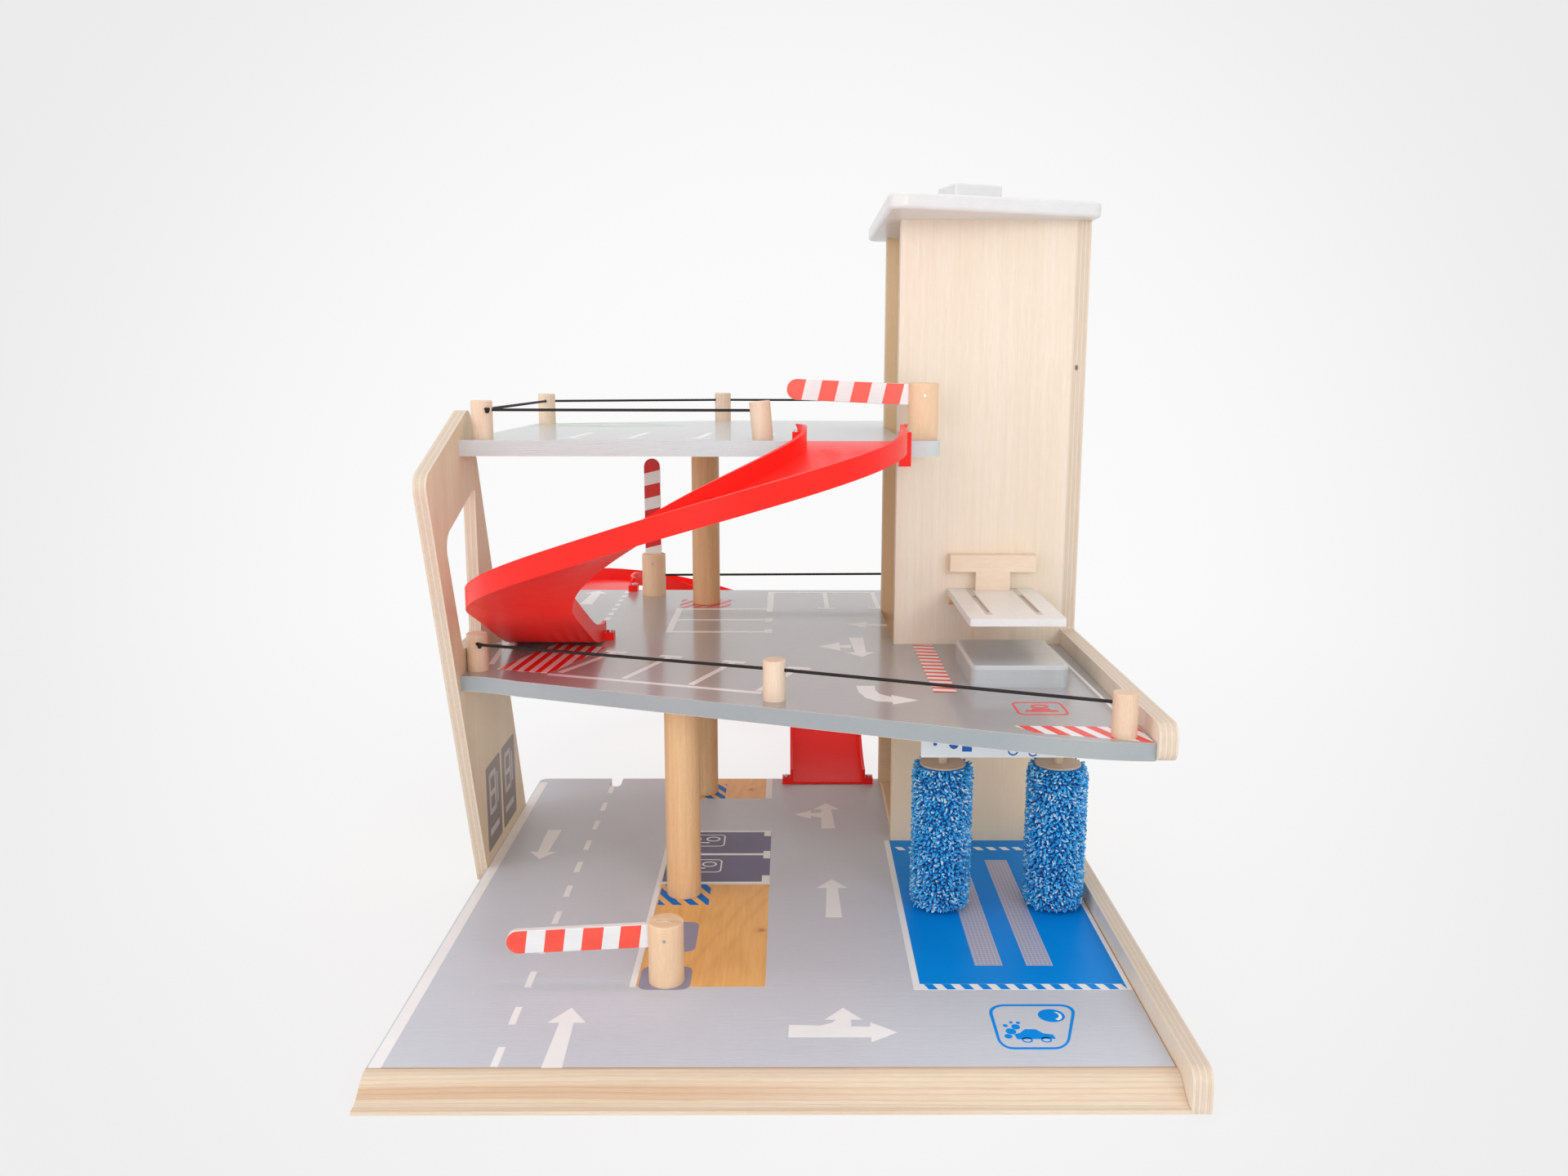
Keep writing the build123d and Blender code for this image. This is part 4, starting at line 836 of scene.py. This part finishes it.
# Beech: turned columns, posts, pegs and dowels, sanded and waxed, with the grain along their axes.
# The upper column is a redder piece of wood, and the pegs are paler, the middle one most of all.
def beech(name, pale, dark, axis=z_axis, figure=0.8):
    """Beech with straight streaks and its short dark rays."""
    finish = Finish(name, roughness=0.5, coat=0.08, coat_roughness=0.3)
    face, relief = wood_grain(finish, axis, pale, dark, figure)
    ray = finish.noise(grain_density(axis, 1500, 260), detail=1.0, spread=0.08)
    finish.colour(finish.mix(ray * 0.14, face, dark))
    finish.relief(relief + ray, 0.0001)
    return finish


beech("warm_beech", (244, 203, 156), (216, 163, 112)).dress(
    "lower_front_column", "lower_back_column")
beech("red_beech", (232, 186, 138), (202, 146, 98)).dress("upper_column")
beech("peg_beech", (238, 211, 186), (218, 181, 149), figure=0.6).dress(
    "mid_front_left_peg", "mid_front_right_peg", "mid_back_right_peg")
beech("upper_peg_beech", (243, 220, 197), (225, 191, 161), figure=0.6).dress(
    *[n for n in nodes if n.startswith("upper_") and n.endswith("_peg")])
beech("pale_peg_beech", (250, 234, 213), (234, 209, 181), figure=0.6).dress("mid_front_middle_peg")
beech("post_beech", (246, 212, 176), (226, 182, 142), figure=0.6).dress(
    *[n for n in nodes if n.endswith("_barrier_post")])
beech("core_beech", (226, 204, 184), (196, 168, 144), axis=x_axis).dress(
    "left_brush_core", "right_brush_core", "left_brush_axle", "right_brush_axle")
beech("guide_beech", (246, 228, 208), (234, 204, 174), axis=x_axis, figure=0.5).dress(
    "workshop_guide")
beech("dowel_beech", (240, 208, 168), (214, 166, 118), axis=y_axis).dress(
    "lift_bar", "cord_dowel", "platform_bar", "winch_spool", "winch_spindle")
beech("lift_beech", (244, 222, 192), (222, 184, 142), axis=x_axis, figure=0.5).dress(
    "lift_floor", "lift_front_wall", "lift_back_wall")


# Ramps: one red plastic moulding used twice, glossy, with the slow sink waves that moulding leaves
# and a few rubbed, duller patches. It is screwed to the decks through its lugs.
red_plastic = Finish("red_plastic", roughness=0.36, coat=0.04, coat_roughness=0.2, specular=0.11)
sink = red_plastic.noise(24, detail=1.0, spread=0.4)
scuff = red_plastic.noise(160, detail=3.0, spread=0.4)
red_plastic.colour(red_plastic.mix(sink * 0.5 + scuff * 0.15, (255, 47, 38), (248, 32, 30)))
red_plastic.rough(0.26 + scuff * 0.12)
red_plastic.relief(sink * 4, 0.0002)
red_plastic.dress("upper_ramp", "lower_ramp")


# Steel: the pins that the barriers turn on, the ramps' pan-head screws and the countersunk screws
# below the boards, bare and with fine scratches along them.
steel = Finish("brushed_steel")
steel.shader.inputs["Metallic"].default_value = 1.0
scratch = steel.noise((300, 2600, 2600))
steel.colour(steel.mix(scratch * 0.6, (206, 206, 208), (164, 164, 168)))
steel.rough(0.26 + scratch * 0.16)
steel.dress("ramp_screws", "board_screws", *[n for n in nodes if n.endswith("_barrier_pin")])


# Barrier arms: white painted strips with four slanted red stripes printed on both broad faces. Each
# turns on its pin in the slot of its post.
def barrier_stripes(name, pin, degrees, slant, stripe_red_and_shade=(250, 86, 66)):
    """White paint with red stripes; an arm's degrees are its turn up from level at rest. A darker
    red paints shade on an arm's stripes.
    """
    arm_reach, printed_depth = 0.109, 0.00235
    stripe_spans = ((-0.02, 0.0115), (0.0246, 0.0382), (0.0508, 0.0651), (0.077, 0.0913))
    finish = Finish(name, roughness=0.35, coat=0.25, coat_roughness=0.12)
    x, y, z = finish.axes
    cosine, sine = np.cos(np.radians(degrees)), np.sin(np.radians(degrees))
    along = (pin[0] - x) * cosine + (z - pin[2]) * sine
    across = (z - pin[2]) * cosine - (pin[0] - x) * sine
    from_tip = arm_reach - along - across * slant
    red = 0
    for start, end in stripe_spans:
        red = (from_tip > start) * (from_tip < end) + red
    face = abs(y - pin[1]) > printed_depth
    mottle, grain = finish.noise(90), finish.noise((60, 900, 900))
    white = finish.mix(mottle * 0.5 + grain * 0.3, (238, 238, 238), (226, 226, 226))
    stripe = finish.mix(mottle, stripe_red_and_shade, darker(stripe_red_and_shade, 8))
    finish.colour(finish.mix(red * face, white, stripe))
    finish.relief(grain, 0.00004)
    return finish


barrier_stripes("base_arm_paint", (-0.076, -0.15984, 0.0475), -3.0, 0.19).dress("base_barrier_arm")
barrier_stripes("upper_arm_paint", (0.119, 0.05049, 0.4155), 2.5, 0.19).dress("upper_barrier_arm")
# The back arm's stripes get a darker red: painted shade, as that arm stands in shade.
barrier_stripes("back_arm_paint", (-0.1355, 0.33912, 0.2315), 90.0, -0.24,
                stripe_red_and_shade=(214, 36, 38)).dress("back_barrier_arm")


# Wash brushes: chenille microfibre sleeves on wooden cores. Short soft fingers of blue and white
# yarn stand out from a blue backing and lie over each other, tilted every way. Each finger has its
# own mix of white, blue and navy.
microfibre = Finish("microfibre", roughness=0.85, specular=0.2)
microfibre.shader.inputs["Sheen Weight"].default_value = 0.15
shade = microfibre.node("ShaderNodeAttribute", {"attribute_name": "shade"}, output="Fac")
tone = shade * 0.62 + microfibre.noise((1300, 1300, 900), detail=1.0) * 0.38
deep = microfibre.mix(microfibre.ramp(tone, 0.1, 0.5), (2, 96, 182), (40, 180, 248))
microfibre.colour(microfibre.mix(microfibre.ramp(tone, 0.58, 0.88), deep, (222, 243, 252)))

core_radius, backing_radius, pile_radius, finger_radius = 0.01806, 0.0189, 0.0244, 0.00108
pile_foot, pile_head = 0.0158, 0.1308


def brush_pile(name, centre, cover, body, seed, rows=46, around=58, sleeve_steps=64):
    """Fingers in staggered rows round a sleeve. Each is a three-sided tube of three rings that
    leaves the backing outwards and bends over sideways by a random amount."""
    chance = np.random.default_rng(seed)
    margin, end_zone, root_depth = 0.0012, 0.004, 0.0006
    count = rows * around
    row = np.repeat(np.arange(rows), around)
    turn = 2 * np.pi * (np.tile(np.arange(around), rows) + 0.5 * (row % 2)) / around
    turn = turn + chance.normal(0, 0.022, count)
    height = pile_foot + margin + (pile_head - pile_foot - 2 * margin) * row / (rows - 1)
    height = height + chance.normal(0, 0.0004, count)
    up = np.array([0.0, 0.0, 1.0])
    out = np.c_[arc(0, 0, 1, 1, turn), np.zeros(count)]
    side = np.cross(up, out)
    heading = chance.uniform(0, 2 * np.pi, count)[:, None]
    lean = chance.uniform(0.0005, 0.0022, count)[:, None]
    sway = (np.cos(heading) * side + (np.sin(heading) - 0.25) * up) * lean
    reach = pile_radius - backing_radius + chance.normal(0, 0.0005, count)[:, None]
    near_end = np.minimum(height - pile_foot, pile_head - height)[:, None] / end_zone
    reach = reach * (0.6 + 0.4 * np.clip(near_end, 0.35, 1))
    root = np.array(centre) + out * (backing_radius - root_depth) + height[:, None] * up
    path = [root, root + out * reach * 0.72 + sway * 0.35, root + out * reach + sway * 1.3]
    corners = np.linspace(0, 2 * np.pi, 3, endpoint=False) + 0.3
    fingers = np.stack([ring + (np.cos(c) * side + np.sin(c) * up) * finger_radius * width
                        for ring, width in zip(path, (0.8, 1.15, 0.72)) for c in corners], 1)
    first = 9 * np.arange(count)[:, None]
    walls = [first + np.add(wall, ring)
             for ring in (0, 3) for wall in ((0, 1, 4, 3), (1, 2, 5, 4), (2, 0, 3, 5))]
    ends = np.concatenate([first + [6, 7, 8], first + [2, 1, 0]])
    turn = np.linspace(0, 2 * np.pi, sleeve_steps, endpoint=False)[:, None]
    radius = np.array([core_radius, backing_radius, backing_radius, core_radius])
    level = np.tile([pile_foot, pile_foot, pile_head, pile_head], (sleeve_steps, 1))
    sleeve = np.dstack([arc(centre[0], centre[1], radius, radius, turn), level])
    sleeve_faces = grid_faces(9 * count + np.arange(4 * sleeve_steps).reshape(-1, 4))
    piece = smooth_mesh(name, np.vstack([fingers.reshape(-1, 3), sleeve.reshape(-1, 3)]),
                        np.vstack([*walls, sleeve_faces]), ends)
    # Each finger is darker at its root and lighter at its tip: painted shade deep in the pile and
    # painted light on the tips.
    shade = np.clip(chance.beta(1.1, 1.25, count), 0, 1)[:, None] + np.repeat([-0.15, 0.0, 0.12], 3)
    attribute = piece.data.attributes.new("shade", "FLOAT", "POINT")
    shade = np.append(np.clip(shade, 0, 1), np.zeros(4 * sleeve_steps))
    attribute.data.foreach_set("value", shade.astype(np.float32))
    piece.data.materials.append(microfibre.material)
    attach(piece, body)
    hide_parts(cover)


brush_y = -0.03618
brush_pile("left_brush_pile", (0.131, brush_y, 0), "left_brush_cover", "left_brush", 11)
brush_pile("right_brush_pile", (0.222, brush_y, 0), "right_brush_cover", "right_brush", 12)


# Floor and background: an even pale studio, lightest behind the garage and a little greyer
# towards the picture's corners. The floor fades into it and keeps the garage's soft shadow.
def studio_mix(graph, kind, direction, other, share=1.0):
    """Mixes the studio's grey, which only the camera's rays and mirrored ones see, with what the
    other rays meet. The grey falls off with a direction's angle to the middle of the picture."""
    middle_of_view = (0.00655, 0.98373, -0.17952)
    cosine = graph.vector("DOT_PRODUCT", direction, middle_of_view, output=1)
    grey = graph.ramp(cosine, 0.79, 0.985, 0.838, 0.962)
    tone = graph.node("ShaderNodeCombineXYZ", {}, [grey, grey, grey])
    direct, mirrored, passed = (graph.node("ShaderNodeLightPath", output=f"Is {ray} Ray")
                                for ray in ("Camera", "Glossy", "Transmission"))
    seen = direct.maths("MAXIMUM", mirrored).maths("MAXIMUM", passed)
    shown = graph.node(kind, {}, {"Color": tone, "Strength": 1.0})
    return graph.node("ShaderNodeMixShader", {}, [seen * share, other, shown])


floor_steps, floor_level = 96, -0.0002
floor_rings = [np.c_[oval(0, 0, radius, radius, floor_steps), np.full(floor_steps, floor_level)]
               for radius in (0.01, 1.0, 4.0, 40.0)]
floor = grid_mesh("floor", np.array(floor_rings), wrap_rows=False)
floor_paint = bpy.data.materials.new("floor_paint")
floor_paint.use_nodes = True
floor_paint.node_tree.nodes.clear()
graph = Graph(floor_paint.node_tree)
place = graph.node("ShaderNodeTexCoord", output="Object")
direction = graph.vector("NORMALIZE", graph.vector("SUBTRACT", place, tuple(camera.location)))
fade = graph.ramp(graph.vector("LENGTH", place, output=1), 0.4, 1.5, 0.8, 1.0)
diffuse = graph.node("ShaderNodeBsdfDiffuse", {}, {"Color": (0.86, 0.86, 0.86, 1)})
seen_floor = studio_mix(graph, "ShaderNodeEmission", direction, diffuse, fade)
graph.node("ShaderNodeOutputMaterial", {}, [seen_floor], output=None)
floor.data.materials.append(floor_paint)

world = bpy.data.worlds.new("studio")
scene.world = world
world.use_nodes = True
world.node_tree.nodes.clear()
graph = Graph(world.node_tree)
direction = graph.node("ShaderNodeTexCoord", output="Generated")
fill = graph.node("ShaderNodeBackground", {}, {"Color": (1, 1, 1, 1), "Strength": 0.8})
seen_world = studio_mix(graph, "ShaderNodeBackground", direction, fill)
graph.node("ShaderNodeOutputWorld", {}, [seen_world], output=None)


# Lamps: five big soft boxes, two beside the camera, one below it, one at the left and one overhead.
# Their light and the world's plain fill show colours about as they are written.
def soft_box(name, place, aim, size, power):
    """A square lamp of a size in metres and a power in watts, turned towards its aim."""
    data = bpy.data.lights.new(name, "AREA")
    data.shape, data.size, data.energy = "SQUARE", size, power
    lamp = new_object(name, data)
    lamp.location = place
    lamp.rotation_euler = (Vector(aim) - Vector(place)).to_track_quat("-Z", "Y").to_euler()


soft_box("front_left_box", (-0.9, -1.9, 0.8), (0, 0, 0.2), 1.0, 4)
soft_box("front_right_box", (1.0, -1.9, 0.95), (0, 0, 0.2), 0.6, 6)
soft_box("low_front_box", (0.3, -1.9, 0.5), (0.1, 0.1, 0.1), 0.9, 4)
soft_box("left_box", (-2.0, -0.8, 0.7), (0.1, 0.1, 0.25), 1.2, 8.5)
soft_box("top_box", (0.2, 0.4, 2.1), (0, 0.1, 0.2), 0.9, 7)

scene.view_settings.view_transform = "Standard"
